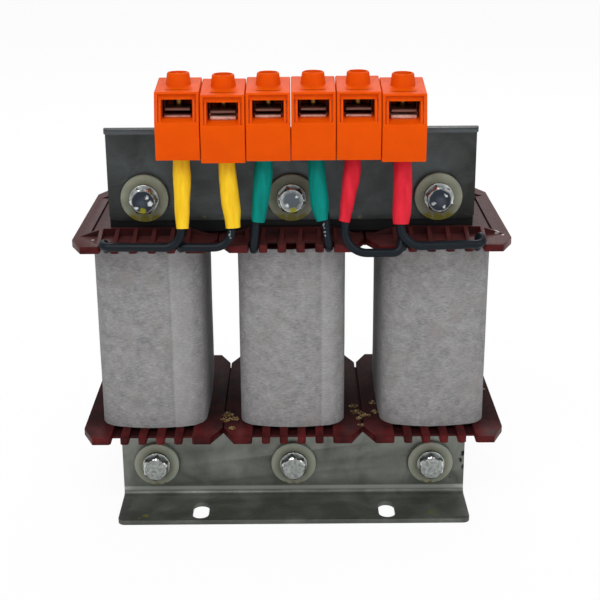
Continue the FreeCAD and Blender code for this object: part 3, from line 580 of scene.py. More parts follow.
def sheetStackTree():
    tree, given = startTree("sheet stack", {
        "Sheets": "Int", "Pitch": "Float", "Jitter": "Float", "Seed": "Int"})
    step = addNode(tree, "ShaderNodeCombineXYZ", {"Y": given["Pitch"]})
    row = addNode(tree, "GeometryNodeMeshLine", {"Count": given["Sheets"], "Offset": step})
    placed = addNode(tree, "GeometryNodeInstanceOnPoints", {"Points": row, "Instance": given["Geometry"]})
    least = addNode(tree, "ShaderNodeMath", {0: given["Jitter"], 1: -1.0}, operation="MULTIPLY")
    sideways = addNode(tree, "FunctionNodeRandomValue",
                       {2: least, 3: given["Jitter"], "Seed": given["Seed"]}, 1, data_type="FLOAT")
    offset = addNode(tree, "ShaderNodeCombineXYZ", {"X": sideways})
    shifted = addNode(tree, "GeometryNodeTranslateInstances", {"Instances": placed, "Translation": offset})
    return endTree(tree, shifted, given["Finish"])


def punchedSheet(outline, holes, holeRadius, front):
    # one flat sheet with its bolt holes, standing on edge at the front of the pack
    form = bmesh.new()
    loops = [outline]
    count = coreSettings["holeSides"]
    turns = [2 * math.pi * k / count for k in range(count)]
    for x, z in holes:
        loops.append([(x + holeRadius * math.cos(t), z + holeRadius * math.sin(t)) for t in turns])
    edges = []
    for loop in loops:
        verts = [form.verts.new((x * mm, front * mm, z * mm)) for x, z in loop]
        edges += [form.edges.new((verts[k], verts[(k + 1) % len(verts)])) for k in range(len(verts))]
    filled = bmesh.ops.triangle_fill(form, edges=edges, use_beauty=True, use_dissolve=False)
    faces = [item for item in filled["geom"] if isinstance(item, bmesh.types.BMFace)]
    swept = bmesh.ops.extrude_face_region(form, geom=faces)
    moved = [item for item in swept["geom"] if isinstance(item, bmesh.types.BMVert)]
    thickness = coreSettings["sheet"] - coreSettings["gap"]
    bmesh.ops.translate(form, verts=moved, vec=(0, thickness * mm, 0))
    bmesh.ops.recalc_face_normals(form, faces=form.faces)
    return looseObject(formMesh(form, "sheet"))


def stackedCore():
    settings = coreSettings
    tree = sheetStackTree()
    legLow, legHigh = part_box("core_leg_pack")
    yokeLow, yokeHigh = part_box("core_yoke_pack")
    boltLow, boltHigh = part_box("insulating_sleeves")
    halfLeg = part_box("gap_spacer_middle")[1].x / mm
    reach = legHigh.x / mm - settings["jitter"]
    pitch = legHigh.x / mm - halfLeg
    bottom, legTop = legLow.z / mm, legHigh.z / mm
    yokeTop = bottom + (yokeHigh.z - yokeLow.z) / mm
    front, back = legLow.y / mm, legHigh.y / mm
    sleeveRadius = boltHigh.x / mm - pitch
    legSheet = [(-reach, bottom), (reach, bottom)]
    for x in (pitch, 0.0, -pitch):
        right = reach if x > 0 else x + halfLeg
        left = -reach if x < 0 else x - halfLeg
        legSheet += [(right, legTop), (left, legTop)]
        if x > -pitch:
            legSheet += [(left, yokeTop), (x - pitch + halfLeg, yokeTop)]
    low, high = yokeLow.z / mm, yokeHigh.z / mm
    yokeSheet = [(-reach, low), (reach, low), (reach, high), (-reach, high)]
    values = {"Sheets": round((back - front) / settings["sheet"]), "Pitch": settings["sheet"] * mm,
              "Jitter": settings["jitter"] * mm, "Seed": settings["seed"], "Finish": coreFinish}
    for name, outline, boltHeight, node in (
            ("coreLegSheets", legSheet, boltLow.z / mm + sleeveRadius, "core_leg_pack"),
            ("coreYokeSheets", yokeSheet, boltHigh.z / mm - sleeveRadius, "core_yoke_pack")):
        holes = [(x, boltHeight) for x in (-pitch, 0.0, pitch)]
        sheet = punchedSheet(outline, holes, sleeveRadius + settings["holePlay"], front)
        addPiece(name, runTree(sheet, tree, values), coreFinish, "core_steel", node)
        values["Seed"] += 1


stackedCore()
print("core stacked")


# ---- stamped and moulded pieces: copies of the solids with their edges rounded ----
ends = ("front", "rear")
softPieces = [  # names of solids, which there are, how far their edges are rounded in mm, finish and slot
    ("bobbin_%s", sides, 0.22, bobbinFinish, "bobbin_plastic"),
    ("lower_%s_bracket", ends, 0.25, galvanisedFinish, "galvanised_sheet"),
    ("upper_%s_bracket", ends, 0.25, darkPlateFinish, "dark_sheet"),
    ("nylon_washers_%s", ends, 0.15, nylonFinish, "nylon"),
    ("steel_washers_%s", ends, 0.15, zincFinish, "zinc_steel"),
]
for pattern, which, edge, finish, slot in softPieces:
    for word in which:
        node = pattern % word
        addPiece(pieceName(node), softened(node, edge), finish, slot, node)
print("edges rounded")


# ---- terminals: the straight one is softened, and the others are copies of it, each at its own slant ----
terminalSettings = {
    "model": 3,
    "housingEdge": 0.18,  # mm, as the next
    "clampEdge": 0.12,
    "lip": (-35.0, 165.3),  # y and z of the line that they tip about, mm
    "drops": (0.0, -0.5, 0.0, 0.2, 0.3, -0.4),  # mm
    "tilts": (-1.5, 0.6, 0.0, 0.0, 0.3, 0.8),  # degrees
    "mark": {"y": -49.6, "top": 183.66, "halfWidth": 4.9, "halfDepth": 0.45, "deep": (0.03, 0.6)},
    "slot": {"x": (6.8, 7.6), "behind": (1.0, 3.6), "z": (172.0, 180.4), "front": -56.0, "sill": 171.8,
             "lean": 0.281},
}


def tagRecesses(mesh):
    # tags the faces of the small mark on the slope, for painted shade, and of the narrow slots beside the
    # wire entry, for painted light
    mark, slot = terminalSettings["mark"], terminalSettings["slot"]
    low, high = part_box("terminal_housing_%d" % terminalSettings["model"])
    inMark = []
    byThinWall = []
    for face in mesh.polygons:
        x, y, z = abs(face.center.x - (low.x + high.x) / 2) / mm, face.center.y / mm, face.center.z / mm
        below = mark["top"] - z
        inMark.append(float(x < mark["halfWidth"] and abs(y - mark["y"]) < mark["halfDepth"]
                            and mark["deep"][0] < below < mark["deep"][1]))
        behind = y - slot["front"] - slot["lean"] * (z - slot["sill"])
        spans = ((x, slot["x"]), (behind, slot["behind"]), (z, slot["z"]))
        byThinWall.append(float(all(least < value < most for value, (least, most) in spans)))
    tag(mesh, "inMark", inMark, "FACE")
    tag(mesh, "byThinWall", byThinWall, "FACE")


def terminalRow(family, edge, material, slot):
    settings = terminalSettings
    model = "%s_%d" % (family, settings["model"])
    pattern = softened(model, edge)
    if material == housingFinish:
        tagRecesses(pattern)
    lip = Vector((0, settings["lip"][0] * mm, settings["lip"][1] * mm))
    for number, (drop, tilt) in enumerate(zip(settings["drops"], settings["tilts"]), 1):
        node = "%s_%d" % (family, number)
        shift = Vector((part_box(node)[0].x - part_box(model)[0].x, 0, drop * mm))
        turn = Matrix.Rotation(math.radians(tilt), 4, "X")
        mesh = pattern.copy()
        mesh.transform(Matrix.Translation(lip + shift) @ turn @ Matrix.Translation(-lip))
        addPiece(pieceName(node), mesh, material, slot, node)


terminalRow("terminal_housing", terminalSettings["housingEdge"], housingFinish, "terminal_plastic")
terminalRow("clamp_frame", terminalSettings["clampEdge"], barFinish, "terminal_metal")
print("terminals set")


# ---- wraps: fibre paper round each coil, a little uneven, with its overlap ----
wrapSettings = {  # mm
    "columns": 440, "rows": 56, "thickness": 0.5, "play": 0.05, "flap": 0.35, "flapLength": 24.0,
    "seams": {"left": 9.4, "middle": 12.3, "right": -21.4},  # each free edge's place from the coil's middle
    "step": 0.5, "fade": 5.0, "corner": 4.0, "lean": 0.4, "wave": 0.16, "waveSize": 18.0, "edgeWave": 0.18,
    "inset": 0.02, "edgeWidth": 0.8,
    "changes": {"lean": 3.0, "wave": 2.8, "edge": 5.0, "edgeAlong": 0.9},  # how fast each noise moves on
}


def windingOutline(nodeName, columns):
    # even steps round the winding's outer edge, counterclockwise from above
    low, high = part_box(nodeName)
    centre = (low + high) / 2
    flat = [(vert.co.x - centre.x, vert.co.y - centre.y) for vert in nodes[nodeName].data.vertices]
    edge = np.array([flat[k] for k in geometry.convex_hull_2d(flat)])
    following = np.roll(edge, -1, axis=0)
    if np.sum(edge[:, 0] * following[:, 1] - following[:, 0] * edge[:, 1]) < 0:
        edge = edge[::-1]
    edge = np.concatenate([edge, edge[:1]])
    travelled = np.concatenate([[0], np.cumsum(np.hypot(*np.diff(edge, axis=0).T))])
    steps = np.linspace(0, travelled[-1], columns, endpoint=False)
    return np.stack([np.interp(steps, travelled, edge[:, k]) for k in (0, 1)], axis=1), centre


def flapShare(x, y, frontLine, seam):
    # 1 on the overlap at the front, and how close a spot is to the free edge
    settings = wrapSettings
    turn = frontLine + settings["corner"] - y
    if turn < 0:
        return 0.0, 0.0
    shares = ((x - seam) / settings["step"] + 0.5, (seam + settings["flapLength"] - x) / settings["fade"],
              turn / settings["corner"])
    edge = max(0.0, 1.0 - abs(x - seam + settings["step"]) / settings["edgeWidth"])
    return math.prod(min(1.0, max(0.0, share)) for share in shares), edge


def wrapMesh(side):
    settings = wrapSettings
    columns, rows = settings["columns"], settings["rows"]
    base, centre = windingOutline("winding_" + side, columns)
    low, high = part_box("paper_wrap_" + side)
    frontLine = base[:, 1].min() / mm
    seed = len(side)
    size, changes = settings["waveSize"], settings["changes"]
    along = changes["edgeAlong"]
    tangent = np.roll(base, -1, axis=0) - np.roll(base, 1, axis=0)
    outward = np.stack([tangent[:, 1], -tangent[:, 0]], axis=1)
    outward /= np.linalg.norm(outward, axis=1)[:, None]
    verts = []
    onFlap = []
    atSeam = []
    for row in range(rows + 1):
        share = row / rows
        lean = settings["lean"] * noise.noise(Vector((share * changes["lean"], seed, 0)))
        for k in range(columns):
            x, y = base[k] / mm
            flap, edge = flapShare(x + lean, y, frontLine, settings["seams"][side])
            onFlap.append(flap)
            atSeam.append(edge)
            spot = Vector((x / size, y / size, share * changes["wave"] + seed))
            wave = (noise.noise(spot) - 0.5) * settings["wave"]
            out = settings["play"] + settings["thickness"] + flap * settings["flap"] + wave
            spot = Vector((x * along, y * along, changes["edge"] * share + seed))
            inset = (abs(noise.noise(spot) * settings["edgeWave"]) + settings["inset"]) * mm
            z = low.z + inset + share * (high.z - low.z - 2 * inset)
            verts.append((centre.x + base[k][0] + outward[k][0] * out * mm,
                          centre.y + base[k][1] + outward[k][1] * out * mm, z))
    for z in (high.z, low.z):  # the inner wall
        for k in range(columns):
            verts.append((centre.x + base[k][0] + outward[k][0] * settings["play"] * mm,
                          centre.y + base[k][1] + outward[k][1] * settings["play"] * mm, z))
    rings = rows + 3
    faces = []
    for ring in range(rings):
        start, following = ring * columns, (ring + 1) % rings * columns
        for k in range(columns):
            beside = (k + 1) % columns
            faces.append((start + k, start + beside, following + beside, following + k))
    mesh = bpy.data.meshes.new("wrap")
    mesh.from_pydata(verts, [], faces)
    inside = [0.0] * (2 * columns)
    tag(mesh, "onFlap", onFlap + inside)
    tag(mesh, "atSeam", atSeam + inside)
    return smoothShade(mesh, 50)


for side in sides:
    node = "paper_wrap_" + side
    addPiece(pieceName(node), wrapMesh(side), wrapFinish, "wrap_paper", node)
print("wraps made")


# ---- leads and shrink sleeves: tubes along lines, by Geometry Nodes ----
leadSettings = {"width": 3.5, "sides": 20, "bendSteps": 12, "start": (-33.5, 118.0), "end": (-42.5, 168.0)}
leadRoutes = [  # mm: x at the coil, x in the terminal, and the solids' corners with the bends' radii
    (-75.45, -43.3, [(-75.45, -42.7, 118.0, 4.0), (-75.45, -46.4, 122.0, 2.4), (-76.25, -51.1, 121.6, 2.8),
                     (-43.95, -52.3, 121.6, 7.0)]),
    (-45.05, -25.6, [(-45.05, -42.7, 118.0, 4.0), (-45.05, -46.4, 122.0, 2.2), (-44.65, -49.9, 121.0, 2.2),
                     (-36.55, -51.2, 121.3, 14.0), (-23.6, -51.2, 121.3, 7.3)]),
    (-15.45, -10.0, [(-15.45, -46.2, 118.0, 3.5), (-14.75, -47.4, 126.0, 20)]),
    (14.95, 9.6, [(14.95, -42.4, 118.0, 3.0), (14.85, -46.6, 120.2, 3.0), (14.05, -47.4, 127.0, 20)]),
    (45.0, 25.2, [(45.0, -44.5, 118.0, 3.2), (45.0, -44.5, 124.2, 2.2), (44.5, -48.5, 123.9, 2.2),
                  (43.1, -50.9, 118.5, 3.4), (20.3, -51.1, 118.5, 9.0)]),
    (75.4, 44.2, [(75.4, -44.7, 118.0, 3.2), (75.4, -44.9, 125.0, 2.2), (76.8, -51.2, 122.0, 2.6),
                  (42.9, -52.6, 121.5, 8.8)]),
]
sleeveSettings = {"sides": 28, "wall": 0.55, "uneven": 0.22, "unevenSize": 7.0, "flat": 0.92}
sleeveShapes = [  # height, middle of the width and half the width, mm, from the photo
    [(129.0, -43.4, 2.45), (131.5, -43.4, 2.65), (135.0, -43.4, 2.95), (141.0, -43.3, 3.1),
     (146.5, -43.2, 3.5), (150.0, -43.3, 3.55), (154.0, -43.4, 3.3), (160.5, -43.4, 3.4)],
    [(128.9, -23.3, 2.95), (132.0, -23.5, 3.1), (135.0, -23.6, 3.5), (138.0, -24.1, 3.7), (143.5, -24.7, 3.7),
     (149.5, -25.2, 3.5), (154.0, -25.6, 3.3), (160.5, -25.8, 3.5)],
    [(130.6, -13.4, 2.7), (132.5, -13.2, 3.0), (135.5, -12.7, 3.2), (141.0, -12.1, 3.65),
     (146.5, -11.5, 3.85), (150.0, -11.1, 3.9), (154.0, -10.9, 3.6), (160.5, -10.5, 3.6)],
    [(131.2, 12.4, 2.75), (133.0, 12.0, 3.2), (135.5, 11.5, 3.75), (138.0, 11.2, 4.0), (143.0, 10.7, 3.85),
     (149.0, 10.2, 3.7), (154.0, 9.9, 3.5), (160.5, 9.7, 3.6)],
    [(131.0, 21.0, 2.35), (134.5, 21.7, 2.5), (138.0, 22.1, 2.9), (143.0, 22.9, 3.1), (147.5, 23.7, 3.6),
     (151.5, 24.2, 3.55), (155.0, 24.4, 3.3), (160.5, 24.7, 3.5)],
    [(130.3, 43.5, 3.1), (132.0, 43.5, 3.4), (135.0, 43.8, 3.7), (141.0, 44.0, 3.75), (147.0, 44.2, 3.7),
     (151.0, 44.1, 3.6), (155.0, 44.0, 3.4), (160.5, 43.9, 3.5)],
]


def bentLine(corners, bendSteps):
    # straight runs between a route's corners, each corner rounded by its own radius, in mm
    line = [Vector(corners[0][:3])]
    for before, corner, after in zip(corners, corners[1:], corners[2:]):
        spot = Vector(corner[:3])
        back = (Vector(before[:3]) - spot).normalized()
        ahead = (Vector(after[:3]) - spot).normalized()
        halfAngle = back.angle(ahead) / 2
        centre = spot + (back + ahead).normalized() * corner[3] / math.sin(halfAngle)
        setback = corner[3] / math.tan(halfAngle)
        start = spot + back * setback - centre
        end = spot + ahead * setback - centre
        line += [centre + start.slerp(end, k / bendSteps) * corner[3] for k in range(bendSteps + 1)]
    return line + [Vector(corners[-1][:3])]


def softLine(points):
    # points along the NURBS spline that these control, in mm
    data = bpy.data.curves.new("line", "CURVE")
    data.dimensions = "3D"
    data.resolution_u = 8
    spline = data.splines.new("NURBS")
    spline.points.add(len(points) - 1)
    for place, point in zip(points, spline.points):
        point.co = (*place, 1)
    spline.order_u = 3
    spline.use_endpoint_u = True
    thing = bpy.data.objects.new("line", data)
    bpy.context.scene.collection.objects.link(thing)
    return [vert.co.copy() for vert in finishedMesh(thing).vertices]


def tubeTree():
    tree, given = startTree("tube along a line", {
        "Sides": "Int", "Flatness": "Float", "Unevenness": "Float", "Uneven scale": "Float",
        "Closed ends": "Bool"})
    line = addNode(tree, "GeometryNodeMeshToCurve", {0: given["Geometry"]})
    halfWidth = addNode(tree, "GeometryNodeInputNamedAttribute", {"Name": "halfWidth"}, data_type="FLOAT")
    ring = addNode(tree, "GeometryNodeCurvePrimitiveCircle", {"Resolution": given["Sides"], "Radius": 1.0})
    squeeze = addNode(tree, "ShaderNodeCombineXYZ", {"X": 1.0, "Y": given["Flatness"], "Z": 1.0})
    oval = addNode(tree, "GeometryNodeTransform", {0: ring, "Scale": squeeze})
    tube = addNode(tree, "GeometryNodeCurveToMesh",
                   {0: line, 1: oval, "Scale": halfWidth, "Fill Caps": given["Closed ends"]})
    place = addNode(tree, "GeometryNodeInputPosition")
    ripple = addNode(tree, "ShaderNodeTexNoise",
                     {"Vector": place, "Scale": given["Uneven scale"], "Detail": 1.0})
    height = addNode(tree, "ShaderNodeMath", {0: ripple, 1: 0.5}, operation="SUBTRACT")
    height = addNode(tree, "ShaderNodeMath", {0: height, 1: given["Unevenness"]}, operation="MULTIPLY")
    outward = addNode(tree, "GeometryNodeInputNormal")
    push = addNode(tree, "ShaderNodeVectorMath", {0: outward, "Scale": height}, operation="SCALE")
    return endTree(tree, addNode(tree, "GeometryNodeSetPosition", {0: tube, "Offset": push}), given["Finish"])


def tubeMesh(tree, line, halfWidths, values):
    # the line and half the tube's width at each of its points are given in mm
    mesh = bpy.data.meshes.new("line")
    mesh.from_pydata([point * mm for point in line], [(k, k + 1) for k in range(len(line) - 1)], [])
    tag(mesh, "halfWidth", [half * mm for half in halfWidths])
    tube = runTree(looseObject(mesh), tree, values)
    form = bmesh.new()
    form.from_mesh(tube)
    bmesh.ops.remove_doubles(form, verts=form.verts, dist=0.0005 * mm)
    bmesh.ops.recalc_face_normals(form, faces=form.faces)
    form.to_mesh(tube)
    form.free()
    return tube


def leadMesh(tree, line):
    settings = leadSettings
    values = {"Sides": settings["sides"], "Flatness": 1.0, "Unevenness": 0.0, "Uneven scale": 1.0,
              "Closed ends": True, "Finish": leadFinish}
    return smoothShade(tubeMesh(tree, line, [settings["width"] / 2] * len(line), values), 50)


def sleeveMesh(tree, leadLine, stations, finish):
    # an outer skin as wide as the photo shows it at each height, given its wall
    settings = sleeveSettings
    rising = leadLine[-leadSettings["bendSteps"] - 2:]
    heights, depths = [p.z for p in rising], [p.y for p in rising]
    line = softLine([(x, float(np.interp(z, heights, depths)), z) for z, x, half in stations])
    levels, _, halves = zip(*stations)
    values = {"Sides": settings["sides"], "Flatness": settings["flat"], "Unevenness": settings["uneven"] * mm,
              "Uneven scale": perMetre(settings["unevenSize"]), "Closed ends": False, "Finish": finish}
    thing = looseObject(tubeMesh(tree, line, np.interp([p.z for p in line], levels, halves), values))
    wall = thing.modifiers.new("wall", "SOLIDIFY")
    wall.thickness = settings["wall"] * mm
    wall.offset = -1
    return smoothShade(finishedMesh(thing), 50)


def leadsAndSleeves():
    tree = tubeTree()
    start, end = leadSettings["start"], leadSettings["end"]
    for index, (startX, endX, corners) in enumerate(leadRoutes):
        number = index + 1
        route = [(startX, *start, 0), *corners, (endX, *end, 0)]
        line = bentLine(route, leadSettings["bendSteps"])
        addPiece("lead%d" % number, leadMesh(tree, line), leadFinish, "lead_insulation", "lead_%d" % number)
        slot, finish = sleeveFinishes[index // 2]
        mesh = sleeveMesh(tree, line, sleeveShapes[index], finish)
        addPiece("shrinkSleeve%d" % number, mesh, finish, slot, "shrink_sleeve_%d" % number)


leadsAndSleeves()
print("leads and sleeves made")


# ---- dip varnish that has dried in lumps on the flanges, and thin dark sheets across the flanges' joints as painted shade ----
varnishSettings = {  # mm
    "seed": 5, "each": 26, "least": 0.15, "most": 0.6, "narrow": 0.7, "flat": 0.6, "rough": 0.35,
    "roughSize": 0.5, "skin": 0.8, "sheetPlay": 0.4,
    "skins": {"Upper": (118.4, -16.0), "Lower": (34.1, 36.0)},  # top of the sheet and how far back it runs
}


def crumbTree():
    tree, given = startTree("crumbs on points", {"Seed": "Int", "Roughness": "Float", "Rough scale": "Float"})
    crumb = addNode(tree, "GeometryNodeMeshIcoSphere", {"Radius": 1.0, "Subdivisions": 2})
    size = addNode(tree, "GeometryNodeInputNamedAttribute", {"Name": "size"}, data_type="FLOAT_VECTOR")
    turn = addNode(tree, "FunctionNodeRandomValue", {2: 0.0, 3: 6.28, "Seed": given["Seed"]}, 1,
                   data_type="FLOAT")
    rotation = addNode(tree, "ShaderNodeCombineXYZ", {"Z": turn})
    placed = addNode(tree, "GeometryNodeInstanceOnPoints",
                     {"Points": given["Geometry"], "Instance": crumb, "Rotation": rotation, "Scale": size})
    real = addNode(tree, "GeometryNodeRealizeInstances", {0: placed})
    place = addNode(tree, "GeometryNodeInputPosition")
    ripple = addNode(tree, "ShaderNodeTexNoise",
                     {"Vector": place, "Scale": given["Rough scale"], "Detail": 2.0}, "Color")
    push = addNode(tree, "ShaderNodeVectorMath", {0: ripple, 1: (0.5, 0.5, 0.5)}, operation="SUBTRACT")
    push = addNode(tree, "ShaderNodeVectorMath", {0: push, "Scale": given["Roughness"]}, operation="SCALE")
    return endTree(tree, addNode(tree, "GeometryNodeSetPosition", {0: real, "Offset": push}), given["Finish"])


def driedVarnish():
    settings = varnishSettings
    chance = random.Random(settings["seed"])
    places = []
    sizes = []
    for x, y, z, radius in crustPlaces:
        for _ in range(settings["each"]):
            turn, away = chance.uniform(0, 6.28), radius * math.sqrt(chance.random())
            size = chance.uniform(settings["least"], settings["most"])
            places.append(((x + away * math.cos(turn)) * mm, (y + away * math.sin(turn)) * mm, z * mm))
            sizes += [size * mm, settings["narrow"] * size * mm, settings["flat"] * size * mm]
    points = bpy.data.meshes.new("crumbPoints")
    points.from_pydata(places, [], [])
    points.attributes.new("size", "FLOAT_VECTOR", "POINT").data.foreach_set("vector", sizes)
    values = {"Seed": settings["seed"], "Roughness": settings["rough"] * mm,
              "Rough scale": perMetre(settings["roughSize"]), "Finish": crustFinish}
    mesh = smoothShade(runTree(looseObject(points), crumbTree(), values), 60)
    addPiece("driedVarnish", mesh, crustFinish, "bobbin_plastic")


def jointShadeSheet(name, one, two, height, back):
    # a thin dark sheet between two flanges as painted shade in their joint, from where their corners meet to
    # a place further back, mm
    settings = varnishSettings
    left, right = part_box(one)[1].x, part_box(two)[0].x
    front = min(v.co.y for v in nodes[one].data.vertices if v.co.x > left - 0.1 * mm)
    low = Vector((left, front + settings["sheetPlay"] * mm, (height - settings["skin"]) * mm))
    size = Vector((right, back * mm, height * mm)) - low
    form = bmesh.new()
    placed = Matrix.Translation(low + size / 2) @ Matrix.Diagonal((*size, 1))
    bmesh.ops.create_cube(form, size=1.0, matrix=placed)
    addPiece(name, formMesh(form, name), bobbinFinish, "bobbin_plastic")


driedVarnish()
for level, (height, back) in varnishSettings["skins"].items():
    jointShadeSheet("varnishSkin%sLeft" % level, "bobbin_left", "bobbin_middle", height, back)
    jointShadeSheet("varnishSkin%sRight" % level, "bobbin_middle", "bobbin_right", height, back)
print("dried varnish set")


# ---- fasteners: one detailed bolt and nut each, set on points by Geometry Nodes ----
fastenerSettings = {  # mm, and degrees for the turns
    "flats": 10.0, "headHeight": 4.0, "shank": 3.0, "chamfer": 0.8, "face": 4.75, "sides": 48,
    "middle": 0.3, "dishFloor": 3.23, "dishRim": 3.8, "flank": (0.04, 0.02, 0.2), "underHead": 0.3,
    "boreBevel": (0.45, 0.5), "threadInNut": 0.15,
    "pitch": 1.0, "threadDepth": 0.32, "threadLength": 12.0, "pointLength": 0.6, "stepsPerTurn": 6,
    "dishes": {"lower_bolts": 0.03, "upper_bolts": 0.14},
    "turns": {"lower_bolts": (-5, 8, 0), "upper_bolts": (30, 20, 13), "hex_nuts": (10, -14, 22, 3, -8, 17)},
}


def fastenerTree():
    tree, given = startTree("fasteners on points", {"Fastener": "Object"})
    shape = addNode(tree, "GeometryNodeObjectInfo", {"Object": given["Fastener"]}, "Geometry")
    turn = addNode(tree, "GeometryNodeInputNamedAttribute", {"Name": "turn"}, data_type="FLOAT")
    rotation = addNode(tree, "ShaderNodeCombineXYZ", {"Y": turn})
    placed = addNode(tree, "GeometryNodeInstanceOnPoints",
                     {"Points": given["Geometry"], "Instance": shape, "Rotation": rotation})
    return endTree(tree, placed, given["Finish"])


def hexReach(inset, limit=math.inf):
    # how far a hexagon's edge lies from its middle at an angle, where no chamfer's cone cuts its corners away
    def reach(angle):
        sector = (angle + math.pi / 6) % (math.pi / 3) - math.pi / 6
        return min(fastenerSettings["flats"] / 2 / math.cos(sector) - inset, limit)
    return reach


def threadReach(y, start, end):
    # a thread's flank at an angle, running in and out over one pitch
    settings = fastenerSettings

    def reach(angle):
        phase = (y / settings["pitch"] - angle / (2 * math.pi)) % 1.0
        fade = min(1.0, (y - start) / settings["pitch"], max(0.0, (end - y) / settings["pitch"]))
        return settings["shank"] - settings["threadDepth"] * abs(2 * phase - 1) * fade
    return reach


def ringObject(name, rings, closed):
    # rings given as y and a radius, or its rule by angle, in mm; joined in order, and the last to the first
    # unless both ends are closed by a face
    form = bmesh.new()
    count = fastenerSettings["sides"]
    angles = [2 * math.pi * k / count for k in range(count)]
    made = []
    for y, reach in rings:
        reaches = [reach(angle) if callable(reach) else reach for angle in angles]
        made.append([form.verts.new(Vector((far * math.cos(angle), y, far * math.sin(angle))) * mm)
                     for far, angle in zip(reaches, angles)])
    pairs = list(zip(made, made[1:])) + ([] if closed else [(made[-1], made[0])])
    for one, two in pairs:
        for k in range(count):
            beside = (k + 1) % count
            form.faces.new((one[k], one[beside], two[beside], two[k]))
    if closed:
        form.faces.new(reversed(made[0]))
        form.faces.new(made[-1])
    bmesh.ops.recalc_face_normals(form, faces=form.faces)
    return looseObject(smoothShade(formMesh(form, name), 24))


def chamferWidth():
    # half way between the flat face's radius and the hexagon's corners
    return (fastenerSettings["face"] + fastenerSettings["flats"] / 2 / math.cos(math.pi / 6)) / 2


def boltObject(length, dish):
    # head towards -Y with its seat at y = 0, shank along +Y, threaded at its end
    settings = fastenerSettings
    height, shank, chamfer = settings["headHeight"], settings["shank"], settings["chamfer"]
    plain = length - settings["threadLength"]
    end = length + settings["pointLength"]
    top, below, seat = settings["flank"]
    rings = [(dish - height, settings["middle"]), (dish - height, settings["dishFloor"]),
             (-height, settings["dishRim"]), (-height, settings["face"]),
             (0.5 * chamfer - height, hexReach(0.0, chamferWidth())), (chamfer - height, hexReach(top)),
             (-settings["underHead"], hexReach(below)), (0.0, hexReach(seat)), (0.0, shank), (plain, shank)]
    count = settings["stepsPerTurn"]
    for step in range(int(settings["threadLength"] * count / settings["pitch"])):
        y = plain + (step + 0.5) * settings["pitch"] / count
        rings.append((y, threadReach(y, plain, end)))
    rings.append((end, shank - settings["pointLength"]))
    return ringObject("boltShape", rings, True)


def nutObject(height):
    # seat at y = 0, height along +Y, chamfered both ways
    settings = fastenerSettings
    bore, chamfer = settings["shank"] - settings["threadInNut"], settings["chamfer"]
    widening, deep = settings["boreBevel"]
    half = [(deep, bore), (0.0, bore + widening), (0.0, settings["face"]),
            (0.5 * chamfer, hexReach(0.0, chamferWidth())), (chamfer, hexReach(settings["flank"][0]))]
    return ringObject("nutShape", half + [(height - y, reach) for y, reach in reversed(half)], False)


def setOnPoints(name, tree, shape, places, node):
    points = bpy.data.meshes.new(name + "Points")
    points.from_pydata(places, [], [])
    tag(points, "turn", [-math.radians(turn) for turn in fastenerSettings["turns"][node]])
    mesh = runTree(looseObject(points), tree, {"Fastener": shape, "Finish": zincFinish})
    bpy.data.objects.remove(shape)
    addPiece(name, mesh, zincFinish, "zinc_steel", node)


def fasteners():
    tree = fastenerTree()
    settings = fastenerSettings
    nutLow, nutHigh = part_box("hex_nuts")
    nutPlaces = []
    for name, row in (("lowerBolts", "lower_bolts"), ("upperBolts", "upper_bolts")):
        low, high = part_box(row)
        reach = (high.x - low.x) / 2 - settings["flats"] / 2 * mm
        seat = low.y + settings["headHeight"] * mm
        length = (high.y - seat) / mm - settings["pointLength"]
        spots = [(x, (low.z + high.z) / 2) for x in (-reach, 0.0, reach)]
        bolt = boltObject(length, settings["dishes"][row])
        setOnPoints(name, tree, bolt, [(x, seat, z) for x, z in spots], row)
        nutPlaces += [(x, nutLow.y, z) for x, z in spots]
    setOnPoints("hexNuts", tree, nutObject((nutHigh.y - nutLow.y) / mm), nutPlaces, "hex_nuts")


fasteners()
print("fasteners set")


# ---- solids that keep their shape and only take a finish ----
plainFinishes = {
    laminateFinish: ["gap_spacer_" + side for side in sides],
    copperFinish: ["winding_" + side for side in sides],
    nylonFinish: ["insulating_sleeves"],
    pressPlateFinish: ["press_plates"],
    screwFinish: ["terminal_screws"],
}
for finish, names in plainFinishes.items():
    for name in names:
        nodes[name].data.materials.clear()
        nodes[name].data.materials.append(finish)


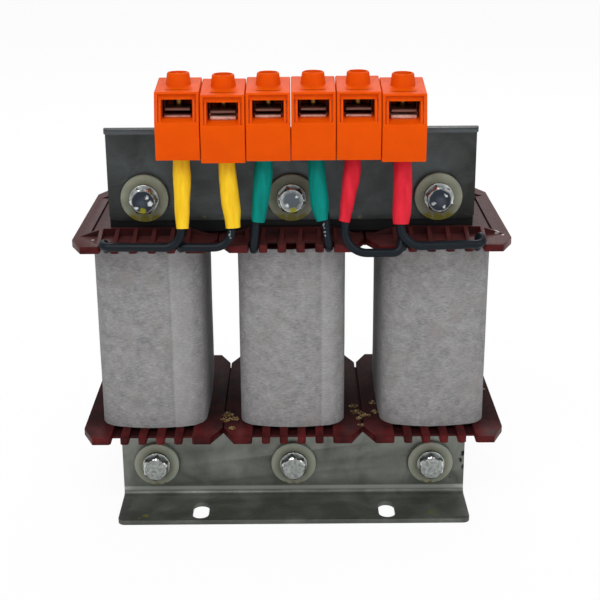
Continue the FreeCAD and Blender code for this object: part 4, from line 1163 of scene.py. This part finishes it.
# ---- floor, lamps and world ----
studio = {"floor": "#f6f6f6", "reach": 6.0, "white": 0.94, "world": 0.5, "aim": (0, 0, 0.09)}
lamps = [  # name, place in m, size in m, watts
    ("key", (-0.4, -0.85, 1.15), 0.9, 8.2),
    ("fill", (0.7, -0.9, 0.7), 0.9, 4.0),
    ("back", (0.1, 0.8, 0.9), 0.8, 5.4),
]


def floorMaterial():
    # matt and pale; the camera sees it almost white, so that only the object's shadow shows
    material = bpy.data.materials.new("studio floor")
    material.use_nodes = True
    tree = material.node_tree
    tree.nodes.clear()
    seen = addNode(tree, "ShaderNodeLightPath", None, "Is Camera Ray")
    share = addNode(tree, "ShaderNodeMath", {0: seen, 1: studio["white"]}, operation="MULTIPLY")
    matt = addNode(tree, "ShaderNodeBsdfDiffuse", {"Color": toLinear(studio["floor"])})
    glow = addNode(tree, "ShaderNodeEmission", {"Color": (1, 1, 1, 1), "Strength": 1.0})
    floorShader = addNode(tree, "ShaderNodeMixShader", {0: share, 1: matt, 2: glow})
    addNode(tree, "ShaderNodeOutputMaterial", {0: floorShader})
    return material


def makeStudio():
    scene = bpy.context.scene
    scene.view_settings.view_transform = "Standard"
    mesh = bpy.data.meshes.new("floor")
    reach = studio["reach"]
    mesh.from_pydata([(-reach, -reach, 0), (reach, -reach, 0), (reach, reach, 0), (-reach, reach, 0)], [],
                     [(0, 1, 2, 3)])
    mesh.materials.append(floorMaterial())
    looseObject(mesh)
    world = bpy.data.worlds.new("studio")
    world.use_nodes = True
    scene.world = world
    background = world.node_tree.nodes["Background"]
    background.inputs["Color"].default_value = (1, 1, 1, 1)
    seen = addNode(world.node_tree, "ShaderNodeLightPath", None, "Is Camera Ray")
    strength = addNode(world.node_tree, "ShaderNodeMapRange", {0: seen, 3: studio["world"], 4: 1.0})
    plug(world.node_tree, strength, background.inputs["Strength"])  # white behind the floor's edge too
    for name, place, size, watts in lamps:
        data = bpy.data.lights.new(name, "AREA")
        data.size = size
        data.energy = watts
        lamp = bpy.data.objects.new(name, data)
        scene.collection.objects.link(lamp)
        aim = (Vector(studio["aim"]) - Vector(place)).to_track_quat("-Z", "Y")
        lamp.matrix_world = Matrix.Translation(place) @ aim.to_matrix().to_4x4()


makeStudio()
print("studio set")
